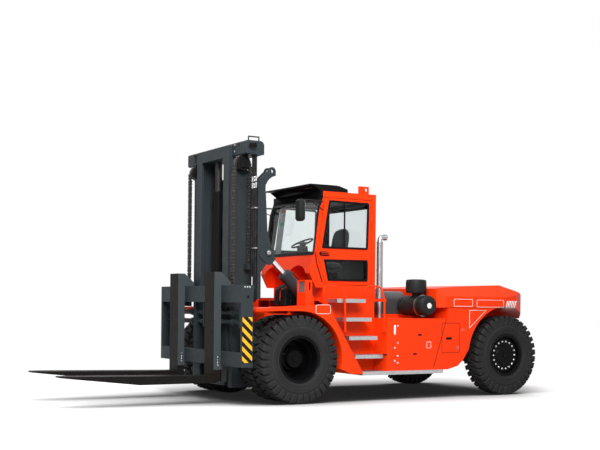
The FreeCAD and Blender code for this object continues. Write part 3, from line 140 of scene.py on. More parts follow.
def moved(shape, offsets=(0, 0, 0), turns=None):
    """Copies of a shape, one for each offset (and each 3x3 turn): point = turn @ point + offset."""
    offsets = np.atleast_2d(np.asarray(offsets, float))
    points = np.broadcast_to(shape.points, (len(offsets),) + shape.points.shape)
    if turns is not None:
        points = np.einsum("kij,knj->kni", np.broadcast_to(turns, (len(offsets), 3, 3)), points)
    points = points + offsets[:, None, :]
    steps = len(shape.points) * np.arange(len(offsets))[:, None]
    counts = np.tile(shape.counts, len(offsets))
    return Shape(points.reshape(-1, 3), (shape.corners + steps).ravel(), counts)


def turn(axis, angles):
    """Rotation matrices about X, Y or Z for an array of angles in radians."""
    angles = np.atleast_1d(np.asarray(angles, float))
    c, s, o, i = np.cos(angles), np.sin(angles), np.zeros_like(angles), np.ones_like(angles)
    table = {"X": [[i, o, o], [o, c, -s], [o, s, c]],
             "Y": [[c, o, s], [o, i, o], [-s, o, c]],
             "Z": [[c, -s, o], [s, c, o], [o, o, i]]}[axis]
    return np.moveaxis(np.array(table), -1, 0)


def mirrored(shape):
    """The same shape on the other side of the truck: X changes sign and each face turns round."""
    ends = np.cumsum(shape.counts)
    starts = ends - shape.counts
    order = (np.repeat(ends + starts, shape.counts) - 1) - np.arange(len(shape.corners))
    return Shape(shape.points * (-1, 1, 1), shape.corners[order], shape.counts)


def both(shape):
    """A shape and its twin on the truck's other side."""
    return join(shape, mirrored(shape))


def side_name(side):
    return "left" if side > 0 else "right"


def on_side(shape, side):
    """A shape made for the left, on the side asked for."""
    return shape if side > 0 else mirrored(shape)


def unit(vectors):
    return vectors / np.maximum(np.linalg.norm(vectors, axis=-1, keepdims=True), 1e-12)


def inset(outline, amount):
    """A closed anticlockwise outline moved inwards: each corner goes along its mitre by amount."""
    before = unit(outline - np.roll(outline, 1, 0))
    after = unit(np.roll(outline, -1, 0) - outline)
    inward = lambda d: np.stack([-d[:, 1], d[:, 0]], -1)
    mitre = inward(before) + inward(after)
    scale = 2 / np.maximum((mitre ** 2).sum(-1, keepdims=True), 0.35)
    return outline + mitre * scale * amount


AXES = {"X": (1, 2, 0), "Y": (2, 0, 1), "Z": (0, 1, 2)}


def along(axis, flat, height):
    """Points of a flat outline set at a height along an axis, the outline in the other two axes in turn."""
    points = np.empty(flat.shape[:-1] + (3,))
    a, b, c = AXES[axis]
    points[..., a], points[..., b], points[..., c] = flat[..., 0], flat[..., 1], height
    return points


def anticlockwise(outline):
    outline = np.asarray(outline, float)
    x, y = outline.T
    area = (x * np.roll(y, -1) - np.roll(x, -1) * y).sum()
    return outline if area > 0 else outline[::-1]


def slab(axis, outline, low, high, bevel=0.004):
    """A plate: the outline carried from low to high along the axis, its two rims drawn in by the bevel."""
    outline = anticlockwise(outline)
    small = inset(outline, bevel)
    rings = [(small, low), (outline, low + bevel), (outline, high - bevel), (small, high)]
    return surface(np.stack([along(axis, flat, h) for flat, h in rings]))


def rectangle(low, high, radius=0.0, steps=4):
    """A rectangle's outline with each corner a quarter circle of that radius."""
    (x0, y0), (x1, y1) = low, high
    if not radius:
        return np.array([(x0, y0), (x1, y0), (x1, y1), (x0, y1)], float)
    angles = np.linspace(0, TAU / 4, steps + 1)
    arc = np.stack([np.cos(angles), np.sin(angles)], -1) * radius
    quarter = lambda n: arc @ np.array([[math.cos(n * TAU / 4), math.sin(n * TAU / 4)],
                                        [-math.sin(n * TAU / 4), math.cos(n * TAU / 4)]])
    middles = [(x1 - radius, y1 - radius), (x0 + radius, y1 - radius),
               (x0 + radius, y0 + radius), (x1 - radius, y0 + radius)]
    return np.concatenate([quarter(n) + m for n, m in enumerate(middles)])


def block(low, high, bevel=0.006, axis="Z", radius=0.0):
    """A block between two corners with bevelled rims, its outline across the axis rounded by radius."""
    a, b, c = AXES[axis]
    outline = rectangle((low[a], low[b]), (high[a], high[b]), radius)
    return slab(axis, outline, low[c], high[c], bevel)


def circle(radius, centre=(0, 0), steps=24, start=0.0):
    angles = start + np.arange(steps) * TAU / steps
    return np.stack([np.cos(angles), np.sin(angles)], -1) * radius + centre


def lathe(profile, centre, axis="X", steps=64, closed=True):
    """A profile of (place along the axis, radius) turned about the axis: closed profiles make a ring."""
    profile = np.asarray(profile, float)
    angles = np.arange(steps) * TAU / steps
    flat = profile[:, 1, None, None] * np.stack([np.cos(angles), np.sin(angles)], -1)
    points = along(axis, flat, profile[:, 0, None]) + centre
    shape = surface(points, wrap_rows=closed, caps=not closed)
    x, r = profile.T
    area = (x * np.roll(r, -1) - np.roll(x, -1) * r).sum()
    forward = area < 0 if closed else profile[-1, 0] > profile[0, 0]
    return shape if forward else flipped(shape)


def flipped(shape):
    """The same points with every face turned round."""
    return mirrored(shape)._replace(points=shape.points)


def bends(before, here, after, radius, share, steps):
    """Curves at corners, each a quadratic from radius (at most a share of the leg) before to after it."""
    def reach(far):
        leg = np.linalg.norm(far - here, axis=-1)
        return (here + unit(far - here) * np.minimum(radius, share * leg)[:, None])[:, None]
    t = np.linspace(0, 1, steps + 1)[None, :, None]
    return (1 - t) ** 2 * reach(before) + 2 * t * (1 - t) * here[:, None] + t ** 2 * reach(after)


def rounded(corners, radius, steps=6):
    """A path through corners, with a curve in place of each bend."""
    corners = np.asarray(corners, float)
    curves = bends(corners[:-2], corners[1:-1], corners[2:], radius, 0.49, steps)
    return np.concatenate([corners[:1], curves.reshape(-1, 3), corners[-1:]])


def soft(outline, radius, steps=5):
    """A closed outline with a curve in place of each corner."""
    here = anticlockwise(outline)
    curves = bends(np.roll(here, 1, 0), here, np.roll(here, -1, 0), radius, 0.45, steps)
    return curves.reshape(-1, 2)


def tube(path, radius, up=(0, 0, 1), steps=12, closed=False, outline=None):
    """An outline carried along a path: sides across the path and square to that, from an up vector."""
    path = np.asarray(path, float)
    if closed:
        forward = unit(np.roll(path, -1, 0) - np.roll(path, 1, 0))
    else:
        forward = unit(np.gradient(path, axis=0))
    side = unit(np.cross(np.broadcast_to(up, path.shape), forward))
    top = np.cross(forward, side)
    ring = circle(1.0, steps=steps) if outline is None else anticlockwise(outline)
    size = np.broadcast_to(radius, len(path))[:, None, None]
    across = ring[None, :, :1] * side[:, None] + ring[None, :, 1:] * top[:, None]
    return surface(path[:, None] + size * across, wrap_rows=closed, caps=not closed)


def collar(axis, centre, low, high, bore, radius, steps=32):
    """A plain ring on an axis, from low to high, between its bore and its outer radius."""
    return lathe([(low, bore), (low, radius), (high, radius), (high, bore)], centre, axis, steps)


def outline_strip(axis, outline, width, low, high):
    """A flat line drawn round a closed outline, standing from low to high along an axis."""
    outline = anticlockwise(outline)
    inner = inset(outline, width)
    rings = [(outline, low), (outline, high), (inner, high), (inner, low)]
    return surface(np.stack([along(axis, flat, h) for flat, h in rings]), wrap_rows=True, caps=False)


def surround(axis, outline, width, low, high):
    """A frame round an opening: the outline and one drawn in by a width, with a ridge between them."""
    outline = anticlockwise(outline)
    inner, ridge = inset(outline, width), inset(outline, width / 2)
    half_up = (low + high) / 2
    rings = [(outline, low), (outline, half_up), (ridge, high), (inner, half_up), (inner, low)]
    return surface(np.stack([along(axis, flat, h) for flat, h in rings]), wrap_rows=True)


def bolt(axis, centre, radius, height=None, facing=1):
    """A bolt's head: a six-sided prism with a bevelled top on a thin round washer."""
    height = height or radius * 0.8
    head = slab(axis, circle(radius, steps=6), 0.0, height, radius * 0.18)
    washer = slab(axis, circle(radius * 1.35, steps=12), 0.0, height * 0.25, radius * 0.08)
    both_parts = join(head, washer)
    if facing < 0:
        flip = np.ones(3)
        flip[AXES[axis][2]] = -1
        both_parts = flipped(both_parts._replace(points=both_parts.points * flip))
    return moved(both_parts, centre)


# --- objects and their bodies -----------------------------------------------------

def make(name, shape, body, finish, replaces=(), smooth=35):
    """Puts a shape into a mesh object, gives it its finish and ties it to its body."""
    mesh = bpy.data.meshes.new(name)
    mesh.vertices.add(len(shape.points))
    mesh.vertices.foreach_set("co", shape.points.astype(np.float32).ravel())
    mesh.loops.add(len(shape.corners))
    mesh.loops.foreach_set("vertex_index", shape.corners.astype(np.int32))
    mesh.polygons.add(len(shape.counts))
    starts = np.cumsum(shape.counts) - shape.counts
    mesh.polygons.foreach_set("loop_start", starts.astype(np.int32))
    mesh.update(calc_edges=True)
    if mesh.validate():
        raise RuntimeError("%s has broken faces" % name)
    if smooth:
        mesh.shade_smooth()
        mesh.set_sharp_from_angle(angle=math.radians(smooth))
    piece = bpy.data.objects.new(name, mesh)
    bpy.context.collection.objects.link(piece)
    mesh.materials.append(finish if isinstance(finish, bpy.types.Material) else FINISHES[finish]())
    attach(piece, body)
    if replaces:
        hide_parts(*replaces)
    return piece


def span(node):
    """A node's low and high corners as arrays."""
    low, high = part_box(node)
    return np.array(low), np.array(high)


def middle(node):
    low, high = span(node)
    return (low + high) / 2


# --- finishes ---------------------------------------------------------------------

class Nodes:
    """A material's node tree with short calls for the nodes it needs."""

    def __init__(self, name):
        self.material = bpy.data.materials.new(name)
        self.material.use_nodes = True
        self.tree = self.material.node_tree
        self.shader = self.tree.nodes["Principled BSDF"]

    def add(self, kind, **settings):
        node = self.tree.nodes.new("ShaderNode" + kind)
        for key, number in settings.items():
            setattr(node, key, number)
        return node

    def link(self, source, target):
        self.tree.links.new(source, target)

    def place(self):
        return self.add("TexCoord").outputs["Object"]

    def noise(self, scale, detail=4.0, rough=0.55, stretch=(1, 1, 1)):
        """Fractal noise on object coordinates, stretched along the axes; returns its factor."""
        mapping = self.add("Mapping")
        mapping.inputs["Scale"].default_value = stretch
        self.link(self.place(), mapping.inputs["Vector"])
        node = self.add("TexNoise")
        node.inputs["Scale"].default_value = scale
        node.inputs["Detail"].default_value = detail
        node.inputs["Roughness"].default_value = rough
        self.link(mapping.outputs["Vector"], node.inputs["Vector"])
        return node.outputs["Fac"]

    def ramp(self, source, low, high, start=0.0, end=1.0):
        """A number mapped from start..end to low..high."""
        node = self.add("MapRange")
        for socket, number in zip(("From Min", "From Max", "To Min", "To Max"), (start, end, low, high)):
            node.inputs[socket].default_value = number
        self.link(source, node.inputs["Value"])
        return node.outputs["Result"]

    def blend(self, factor, first, second):
        """Two colours (numbers or sockets) mixed by a factor."""
        node = self.add("Mix", data_type="RGBA")
        self.link(factor, node.inputs["Factor"])
        for socket, tint in ((node.inputs[6], first), (node.inputs[7], second)):
            if isinstance(tint, bpy.types.NodeSocket):
                self.link(tint, socket)
            else:
                socket.default_value = (*tint, 1)
        return node.outputs[2]

    def math(self, operation, first, second=None):
        node = self.add("Math", operation=operation)
        for socket, number in zip(node.inputs, (first, second)):
            if isinstance(number, bpy.types.NodeSocket):
                self.link(number, socket)
            elif number is not None:
                socket.default_value = number
        return node.outputs[0]

    def bump(self, height, strength, distance=0.002):
        node = self.add("Bump")
        node.inputs["Strength"].default_value = strength
        node.inputs["Distance"].default_value = distance
        self.link(height, node.inputs["Height"])
        self.link(node.outputs["Normal"], self.shader.inputs["Normal"])

    def edges(self, radius=0.02):
        """How sharp the surface is here, for wear: the true normal against one rounded over a radius."""
        soft = self.add("Bevel", samples=4)
        soft.inputs["Radius"].default_value = radius
        plain = self.add("NewGeometry")
        dot = self.add("VectorMath", operation="DOT_PRODUCT")
        self.link(soft.outputs["Normal"], dot.inputs[0])
        self.link(plain.outputs["Normal"], dot.inputs[1])
        return self.ramp(dot.outputs["Value"], 1.0, 0.0, 0.86, 0.995)

    def sideways(self, start=0.80, end=0.95):
        """1 where the object's own surface looks along X, 0 where it looks along Y or Z."""
        split = self.add("SeparateXYZ")
        self.link(self.add("TexCoord").outputs["Normal"], split.inputs[0])
        return self.ramp(self.math("ABSOLUTE", split.outputs["X"]), 0.0, 1.0, start, end)

    def axis(self, letter):
        """X, Y or Z of the object's own coordinates."""
        split = self.add("SeparateXYZ")
        self.link(self.place(), split.inputs[0])
        return split.outputs[letter]

    def tint(self, source):
        """Sends a colour to the shader."""
        self.link(source, self.shader.inputs["Base Color"])

    def gloss(self, scale, detail, low, high, start=0.0, end=1.0):
        """Roughness that wavers between two values with a noise."""
        rough = self.ramp(self.noise(scale, detail), low, high, start, end)
        self.link(rough, self.shader.inputs["Roughness"])

    def mottle(self, scale, detail, start, end, first, second):
        """Two colours in soft patches: a noise from start to end goes from the first to the second."""
        return self.blend(self.ramp(self.noise(scale, detail), 0.0, 1.0, start, end), first, second)

    def set(self, **numbers):
        """Plain numbers on the shader's own sockets, a socket's spaces written as underscores."""
        for key, number in numbers.items():
            self.shader.inputs[key.replace("_", " ")].default_value = number


def dusk(tint, amount, lift=0.0):
    """A colour multiplied by an amount, with a little grey added."""
    return tuple(c * amount + lift for c in tint)


def colours():
    return bpy.context.scene.forklift_paint


def painted(name, tint, rough, coat, dirt, orange_peel, specular=0.5):
    """Sprayed paint: slight cloudy colour, soft dust low down, orange peel in the bump and a clear coat."""
    n = Nodes(name)
    cloud = n.ramp(n.noise(1.3, 5), 0.0, dirt, 0.3, 0.75)
    fine = n.ramp(n.noise(22, 3), 0.0, dirt * 0.6, 0.45, 0.8)
    dusty = tuple(c * 0.72 + 0.2 * min(c, 0.06) for c in tint)
    n.tint(n.blend(n.math("ADD", cloud, fine), tint, dusty))
    n.gloss(9, 4, rough - 0.05, rough + 0.09, 0.3, 0.7)
    n.bump(n.noise(420, 2, 0.5), orange_peel, 0.001)
    n.set(Coat_Weight=coat, Coat_Roughness=0.08, Specular_IOR_Level=specular)
    return n


BODY_SPECULAR = 0.09
PITCH_BLACK = (0.006, 0.006, 0.0065)


def body_nodes(name):
    return painted(name, tuple(colours().body), 0.34, 0.06, 0.08, 0.04, BODY_SPECULAR)


def body_paint():
    return body_nodes("body_paint").material


def cab_paint():
    """Body paint outside and trim black inside: inside is behind the front wall's slope, and in front of the
    rear wall, between the side skins; round the windscreen the whole frame is black."""
    n = body_nodes("cab_paint")
    low, high = span("cab_shell")
    knee, sill, arch = low[2] + 0.40, low[2] + 0.735, (low[1] + 0.300, low[2] + 0.560)
    lean_above, lean_below, wall = 0.267, -0.52, 0.030
    skin = 0.0285
    x, y, z = (n.axis(letter) for letter in "XYZ")
    above = n.math("SUBTRACT", z, knee)
    slope = n.math("MAXIMUM", n.math("MULTIPLY", above, lean_above), n.math("MULTIPLY", above, lean_below))
    behind = n.math("GREATER_THAN", n.math("SUBTRACT", y, slope), low[1] + wall)
    past_arch = n.math("MAXIMUM", n.math("GREATER_THAN", z, arch[1]), n.math("GREATER_THAN", y, arch[0]))
    dark = n.math("MAXIMUM", n.math("MULTIPLY", behind, past_arch), n.math("GREATER_THAN", z, sill))
    for test in (n.math("LESS_THAN", n.math("ABSOLUTE", x), high[0] - skin),
                 n.math("LESS_THAN", y, high[1] - 0.004), n.math("LESS_THAN", z, high[2] - 0.002),
                 n.math("GREATER_THAN", z, low[2] + 0.004)):
        dark = n.math("MULTIPLY", dark, test)
    base = n.shader.inputs["Base Color"].links[0].from_socket
    n.tint(n.blend(dark, base, tuple(colours().plastic)))
    return n.material


def cast_paint():
    """Body paint over a casting: the same colour with a coarser skin."""
    n = painted("cast_paint", tuple(colours().body), 0.38, 0.06, 0.10, 0.0, BODY_SPECULAR)
    n.bump(n.math("ADD", n.noise(60, 5), n.noise(7, 3)), 0.10, 0.004)
    return n.material


def mast_paint():
    """Satin slate paint, rubbed paler in streaks down the mast and along its edges, and black round the
    sheaves.
    """
    tint = tuple(colours().mast)
    n = painted("mast_paint", tint, 0.46, 0.0, 0.10, 0.06, 0.12)
    streak = n.ramp(n.noise(26, 3, 0.6, (1, 1, 0.05)), 0.0, 0.30, 0.55, 0.85)
    base = n.blend(streak, tint, dusk(tint, 1.35, 0.01))
    worn = n.ramp(n.edges(0.012), 0.0, 0.45)
    faced = n.blend(worn, base, dusk(tint, 1.6, 0.03))
    n.tint(n.blend(sheave_zone(n), faced, PITCH_BLACK))
    return n.material


def sheave_zone(n):
    """1 round the chain sheaves' pins, where the mast paint is black."""
    front, rear = span("carriage_chains"), span("anchor_chains")
    pin_y, pin_z = (front[1][1] + rear[0][1]) / 2, rear[1][2]
    beside = n.math("GREATER_THAN", n.math("ABSOLUTE", n.axis("X")), front[1][0] - 0.12)
    squares = [n.math("POWER", n.math("ABSOLUTE", n.math("SUBTRACT", n.axis(letter), place)), 2.0)
               for letter, place in (("Y", pin_y), ("Z", pin_z))]
    away = n.math("SQRT", n.math("ADD", *squares))
    near = n.math("LESS_THAN", away, (rear[0][1] - front[1][1]) / 2 + 0.030)
    return n.math("MULTIPLY", near, beside)


def rim_paint():
    return painted("rim_paint", tuple(colours().rims), 0.30, 0.0, 0.03, 0.08, 0.06).material


def fork_paint():
    """Forged steel, near black with a brown bloom; its shank's sides are paler slate, a painted highlight
    where the fork's side catches the light.
    """
    tint = tuple(colours().forks)
    n = Nodes("fork_paint")
    bloom = n.ramp(n.noise(5, 6, 0.65), 0.0, 0.8, 0.35, 0.7)
    base = n.blend(bloom, tint, tuple(c * f for c, f in zip(tint, (1.8, 1.5, 1.3))))
    # painted highlight: the shank's sides, above the blade, are made paler slate as the fork's lit side
    shank = n.math("GREATER_THAN", n.axis("Z"), span("fork_left")[0][2] + 0.200)
    side = n.math("MULTIPLY", n.sideways(), shank)
    n.tint(n.blend(side, base, (0.050, 0.060, 0.064)))
    n.gloss(16, 4, 0.38, 0.62)
    n.bump(n.noise(85, 5, 0.6), 0.22, 0.002)
    n.set(Metallic=0.0, Specular_IOR_Level=0.06)
    return n.material


def hood_paint():
    return painted("hood_paint", tuple(colours().panel), 0.40, 0.25, 0.14, 0.05).material


def black_paint():
    return painted("black_paint", PITCH_BLACK, 0.42, 0.0, 0.06, 0.06, 0.06).material


def rubber():
    """Tyre rubber: grey bloom and dust in the hollows, a fine moulded grain."""
    tint = tuple(colours().rubber)
    n = Nodes("tyre_rubber")
    dust = n.ramp(n.noise(3.2, 6, 0.6), 0.0, 0.55, 0.35, 0.75)
    base = n.blend(dust, tint, tuple(c * 1.55 + 0.004 for c in tint))
    n.tint(n.blend(n.ramp(n.edges(0.012), 0.0, 0.35), base, (0.085, 0.084, 0.082)))
    n.gloss(14, 4, 0.62, 0.82)
    n.bump(n.math("ADD", n.noise(260, 3), n.noise(45, 3)), 0.16, 0.002)
    n.set(Specular_IOR_Level=0.12)
    return n.material


def hose_rubber():
    n = Nodes("hose_rubber")
    n.tint(n.mottle(9, 4, 0.35, 0.7, (0.010, 0.010, 0.011), (0.024, 0.024, 0.025)))
    n.gloss(30, 3, 0.36, 0.52)
    n.bump(n.noise(300, 2), 0.12, 0.001)
    n.set(Specular_IOR_Level=0.10)
    return n.material


def plastic():
    """Moulded black plastic with a leather-like grain."""
    tint = tuple(colours().plastic)
    n = Nodes("black_plastic")
    n.tint(n.mottle(4, 4, 0.35, 0.7, tint, tuple(c * 1.7 for c in tint)))
    n.gloss(20, 4, 0.38, 0.55)
    n.set(Specular_IOR_Level=0.12)
    cells = n.add("TexVoronoi", feature="F1")
    cells.inputs["Scale"].default_value = 320
    n.link(n.place(), cells.inputs["Vector"])
    n.bump(cells.outputs["Distance"], 0.10, 0.001)
    return n.material


def galvanised():
    """Zinc-coated steel: pale spangles, dull grey patches and a light brushed grain."""
    tint = tuple(colours().steel)
    n = Nodes("galvanised_steel")
    cells = n.add("TexVoronoi", feature="F1")
    cells.inputs["Scale"].default_value = 42
    n.link(n.place(), cells.inputs["Vector"])
    spangle = n.ramp(cells.outputs["Distance"], 0.0, 0.5, 0.1, 0.6)
    base = n.blend(spangle, tint, dusk(tint, 0.66))
    grime = n.ramp(n.noise(6, 5), 0.0, 0.35, 0.55, 0.8)
    n.tint(n.blend(grime, base, dusk(tint, 0.3)))
    n.gloss(40, 3, 0.30, 0.48)
    n.bump(n.noise(200, 2, 0.5, (0.1, 1, 1)), 0.10, 0.001)
    n.set(Metallic=0.85)
    return n.material


def bright_steel():
    """Machined steel of bolts, pins and clamps."""
    n = Nodes("bright_steel")
    n.tint(n.mottle(30, 4, 0.35, 0.7, (0.52, 0.52, 0.53), (0.34, 0.34, 0.35)))
    n.gloss(60, 3, 0.20, 0.38)
    n.bump(n.noise(420, 2), 0.06, 0.001)
    n.set(Metallic=1.0)
    return n.material


def chrome():
    """A ground and plated rod: mirror bright with faint rings of oil."""
    n = Nodes("chrome_rod")
    n.tint(n.mottle(12, 3, 0.4, 0.7, (0.78, 0.78, 0.79), (0.62, 0.62, 0.62)))
    n.gloss(50, 3, 0.10, 0.22)
    n.bump(n.noise(600, 1), 0.02, 0.001)
    n.set(Metallic=1.0)
    return n.material


def chain_steel():
    """Oiled chain plates: near black, bright only on rubbed edges."""
    n = Nodes("chain_steel")
    base = n.mottle(60, 4, 0.35, 0.7, (0.016, 0.015, 0.014), (0.045, 0.042, 0.040))
    n.tint(n.blend(n.ramp(n.edges(0.003), 0.0, 0.5), base, (0.22, 0.21, 0.20)))
    n.gloss(90, 3, 0.28, 0.48)
    n.bump(n.noise(400, 2), 0.10, 0.001)
    n.set(Metallic=0.5, Specular_IOR_Level=0.3)
    return n.material


def pane(name, tint, rough=0.02):
    """Window glass: thin, slightly tinted, with faint dust in its roughness."""
    n = Nodes(name)
    dust = n.noise(5, 5)
    n.tint(n.blend(n.ramp(dust, 0, 0.25, 0.4, 0.8), tint, dusk(tint, 0.9)))
    n.link(n.ramp(dust, rough, rough + 0.05), n.shader.inputs["Roughness"])
    n.set(Transmission_Weight=1.0, IOR=1.2, Specular_IOR_Level=0.5)
    return n.material


def clear_glass():
    return pane("clear_glass", (0.86, 0.90, 0.90))


def tinted_glass():
    return pane("tinted_glass", (0.80, 0.83, 0.84))


def lens():
    """A lamp's lens: clear plastic over fine vertical flutes."""
    n = Nodes("lamp_lens")
    wave = n.add("TexWave", wave_type="BANDS", bands_direction="X")
    wave.inputs["Scale"].default_value = 30
    n.link(n.place(), wave.inputs["Vector"])
    n.tint(n.blend(n.ramp(wave.outputs["Fac"], 0, 0.4), (0.16, 0.17, 0.18), (0.035, 0.037, 0.04)))
    n.gloss(30, 4, 0.06, 0.16)
    n.bump(wave.outputs["Fac"], 0.3, 0.003)
    n.set(Coat_Weight=1.0, Coat_Roughness=0.03)
    return n.material


def hazard():
    """Yellow bands slanting down over black: a saw of (0.95 Y + Z) cut at its middle."""
    n = Nodes("hazard_stripes")
    pitch = bpy.context.scene.forklift_mast.stripe_pitch
    slant = n.math("ADD", n.math("MULTIPLY", n.axis("Y"), 0.95), n.axis("Z"))
    band = n.math("GREATER_THAN", n.math("FRACT", n.math("DIVIDE", slant, pitch)), 0.52)
    scuff = n.ramp(n.noise(40, 5), 0.0, 0.35, 0.55, 0.8)
    warning = tuple(colours().warning)
    yellow = n.blend(scuff, warning, dusk(warning, 0.6))
    n.tint(n.blend(band, (0.004, 0.004, 0.004), yellow))
    n.gloss(25, 4, 0.30, 0.50)
    n.set(Specular_IOR_Level=0.15)
    return n.material


def cloth():
    """Woven seat cloth: two crossed waves for warp and weft, with sheen."""
    tint = tuple(colours().cloth)
    n = Nodes("seat_cloth")
    waves = []
    for direction in ("X", "Z"):
        wave = n.add("TexWave", wave_type="BANDS", bands_direction=direction)
        wave.inputs["Scale"].default_value = 160
        n.link(n.place(), wave.inputs["Vector"])
        waves.append(wave.outputs["Fac"])
    weave = n.math("MULTIPLY", *waves)
    n.tint(n.blend(weave, tint, tuple(c * 2.2 for c in tint)))
    n.gloss(50, 4, 0.75, 0.92)
    n.bump(weave, 0.35, 0.002)
    n.set(Sheen_Weight=0.35, Sheen_Roughness=0.4)
    return n.material


def white_film():
    """A blank white marking film."""
    n = Nodes("white_film")
    n.tint(n.blend(n.ramp(n.noise(20, 4), 0, 0.5, 0.4, 0.8), (0.86, 0.84, 0.82), (0.66, 0.60, 0.57)))
    n.gloss(30, 4, 0.35, 0.5)
    return n.material


def lamp(name, tint):
    """A small coloured lens, deeper in tone where it is thick."""
    n = Nodes(name)
    n.tint(n.mottle(40, 4, 0.4, 0.7, tint, dusk(tint, 0.64)))
    n.gloss(30, 4, 0.10, 0.22)
    n.set(Coat_Weight=0.8)
    return n.material


def amber():
    return lamp("amber_lens", (0.70, 0.05, 0.01))


def green():
    return lamp("green_lens", (0.03, 0.42, 0.16))


def once(build):
    """A finish that is made the first time it is asked for and kept after that."""
    kept = []

    def fetch():
        if not kept:
            kept.append(build())
        return kept[0]
    return fetch


FINISHES = {name: once(build) for name, build in {
    "body": body_paint, "cab": cab_paint, "cast": cast_paint, "mast": mast_paint, "rim": rim_paint,
    "fork": fork_paint, "hood": hood_paint, "black": black_paint, "rubber": rubber, "hose": hose_rubber,
    "plastic": plastic, "zinc": galvanised, "steel": bright_steel, "chrome": chrome, "chain": chain_steel,
    "glass": clear_glass, "dark_glass": tinted_glass, "lens": lens, "hazard": hazard, "cloth": cloth,
    "white": white_film, "amber": amber, "green": green}.items()}

NODE_FINISHES = {
    "body": ("fender_left", "fender_right", "tank_left", "tank_right", "rear_panel_left", "rear_panel_right",
             "cab_deck", "cab_roof", "hand_rails", "chassis_frame"),
    "cab": ("cab_shell", "cab_door"),
    "cast": ("counterweight",),
    "mast": ("outer_mast", "inner_mast", "carriage", "tilt_barrel_left", "tilt_barrel_right"),
    "rim": ("front_rims_left", "front_rims_right", "rear_rim_left", "rear_rim_right", "front_axle",
            "rear_axle", "knuckle_left", "knuckle_right"),
    "fork": ("fork_left", "fork_right"),
    "rubber": ("front_tyres_left", "front_tyres_right", "rear_tyre_left", "rear_tyre_right"),
    "zinc": ("steps_left", "steps_right", "exhaust_stack"),
    "chrome": ("tilt_rod_left", "tilt_rod_right"),
    "glass": ("cab_glass",),
    "dark_glass": ("door_glass",),
    "lens": ("head_lamps",),
    "cloth": ("driver_seat",),
    "plastic": ("steering_column", "mirrors", "air_cleaner"),
    "hose": ("mast_hoses",),
    "hood": ("engine_hood",),
    # lift barrels are black for their own dark paint and also as painted shade that darkens the mast's inside
    "black": ("engine_block", "lift_barrels", "roof_visor"),
    "chain": ("carriage_chains", "anchor_chains", "lift_rods"),
}


# --- stage ------------------------------------------------------------------------

SKY_STRENGTH = 0.28
FLOOR_REACH = 60.0
SHADOW_REACH = 2.8
FADE_START, FADE_END = 5.0, 9.0
LAMP_AIM = (0, 0, 1.2)
LAMPS = {  # place, diameter and power
    "key": ((12.0, -6.0, 8.0), 4.0, 1750.0),
    "front_fill": ((3.0, -14.0, 7.0), 6.0, 130.0),
    "high": ((5.0, -4.0, 13.0), 5.0, 1350.0),
}

def seen_white(tree):
    """One where the camera, a mirror or a pane looks, and nought for all other light."""
    path = tree.nodes.new("ShaderNodeLightPath")
    seen = path.outputs["Is Camera Ray"]
    for other in ("Is Glossy Ray", "Is Transmission Ray"):
        most = tree.nodes.new("ShaderNodeMath")
        most.operation = "MAXIMUM"
        tree.links.new(seen, most.inputs[0])
        tree.links.new(path.outputs[other], most.inputs[1])
        seen = most.outputs[0]
    return seen


def mixed(tree, factor, first, second):
    """Two shaders mixed by a factor, a number or a socket."""
    node = tree.nodes.new("ShaderNodeMixShader")
    if isinstance(factor, bpy.types.NodeSocket):
        tree.links.new(factor, node.inputs[0])
    else:
        node.inputs[0].default_value = factor
    tree.links.new(first, node.inputs[1])
    tree.links.new(second, node.inputs[2])
    return node.outputs[0]


def sky():
    """A sky that is white where it is seen and lights the truck softly."""
    world = bpy.data.worlds.new("studio")
    bpy.context.scene.world = world
    world.use_nodes = True
    tree = world.node_tree
    light = tree.nodes["Background"]
    light.inputs["Color"].default_value = (1, 1, 1, 1)
    light.inputs["Strength"].default_value = SKY_STRENGTH
    white = tree.nodes.new("ShaderNodeBackground")
    white.inputs["Color"].default_value = (1, 1, 1, 1)
    seen = mixed(tree, seen_white(tree), light.outputs[0], white.outputs[0])
    tree.links.new(seen, tree.nodes["World Output"].inputs["Surface"])


def floor_paint():
    """Grey for light; where it is seen, pale, darkened under the truck by a painted shadow from ambient
    occlusion in its colour and glow, and white far from it.
    """
    n = Nodes("floor_paint")
    n.set(Base_Color=(0.45, 0.45, 0.45, 1), Roughness=0.9)
    # painted shadow: ambient occlusion darkens the seen floor's colour and glow near the truck
    hollow = n.add("AmbientOcclusion", samples=12)
    hollow.inputs["Distance"].default_value = SHADOW_REACH
    painted_shadow = n.ramp(hollow.outputs["AO"], 0.035, 1.35, 0.30, 0.96)
    pale, glow = n.add("BsdfDiffuse"), n.add("Emission")
    for shader in (pale, glow):
        n.link(painted_shadow, shader.inputs["Color"])
    near = mixed(n.tree, 0.5, pale.outputs[0], glow.outputs[0])
    away = n.add("VectorMath", operation="LENGTH")
    n.link(n.place(), away.inputs[0])
    fade = n.ramp(away.outputs["Value"], 0.0, 1.0, FADE_START, FADE_END)
    faded = mixed(n.tree, fade, near, n.add("Emission").outputs[0])
    seen = mixed(n.tree, seen_white(n.tree), n.shader.outputs[0], faded)
    n.link(seen, n.tree.nodes["Material Output"].inputs["Surface"])
    return n.material


def ground():
    """A pale floor that keeps the truck's shadow, deepened by a painted shadow in its finish."""
    r = FLOOR_REACH
    mesh = bpy.data.meshes.new("floor")
    mesh.from_pydata([(-r, -r, 0), (r, -r, 0), (r, r, 0), (-r, r, 0)], [], [(0, 1, 2, 3)])
    mesh.materials.append(floor_paint())
    floor = bpy.data.objects.new("floor", mesh)
    bpy.context.collection.objects.link(floor)


def lights():
    """A soft key beside the cab, a high lamp over it, and a faint fill in front of the mast."""
    for name, (place, size, power) in LAMPS.items():
        light = bpy.data.lights.new(name, "AREA")
        light.shape = "DISK"
        light.size = size
        light.energy = power
        holder = bpy.data.objects.new(name, light)
        holder.matrix_world = Matrix.Translation(place) @ aimed(np.array(LAMP_AIM) - place)
        bpy.context.collection.objects.link(holder)


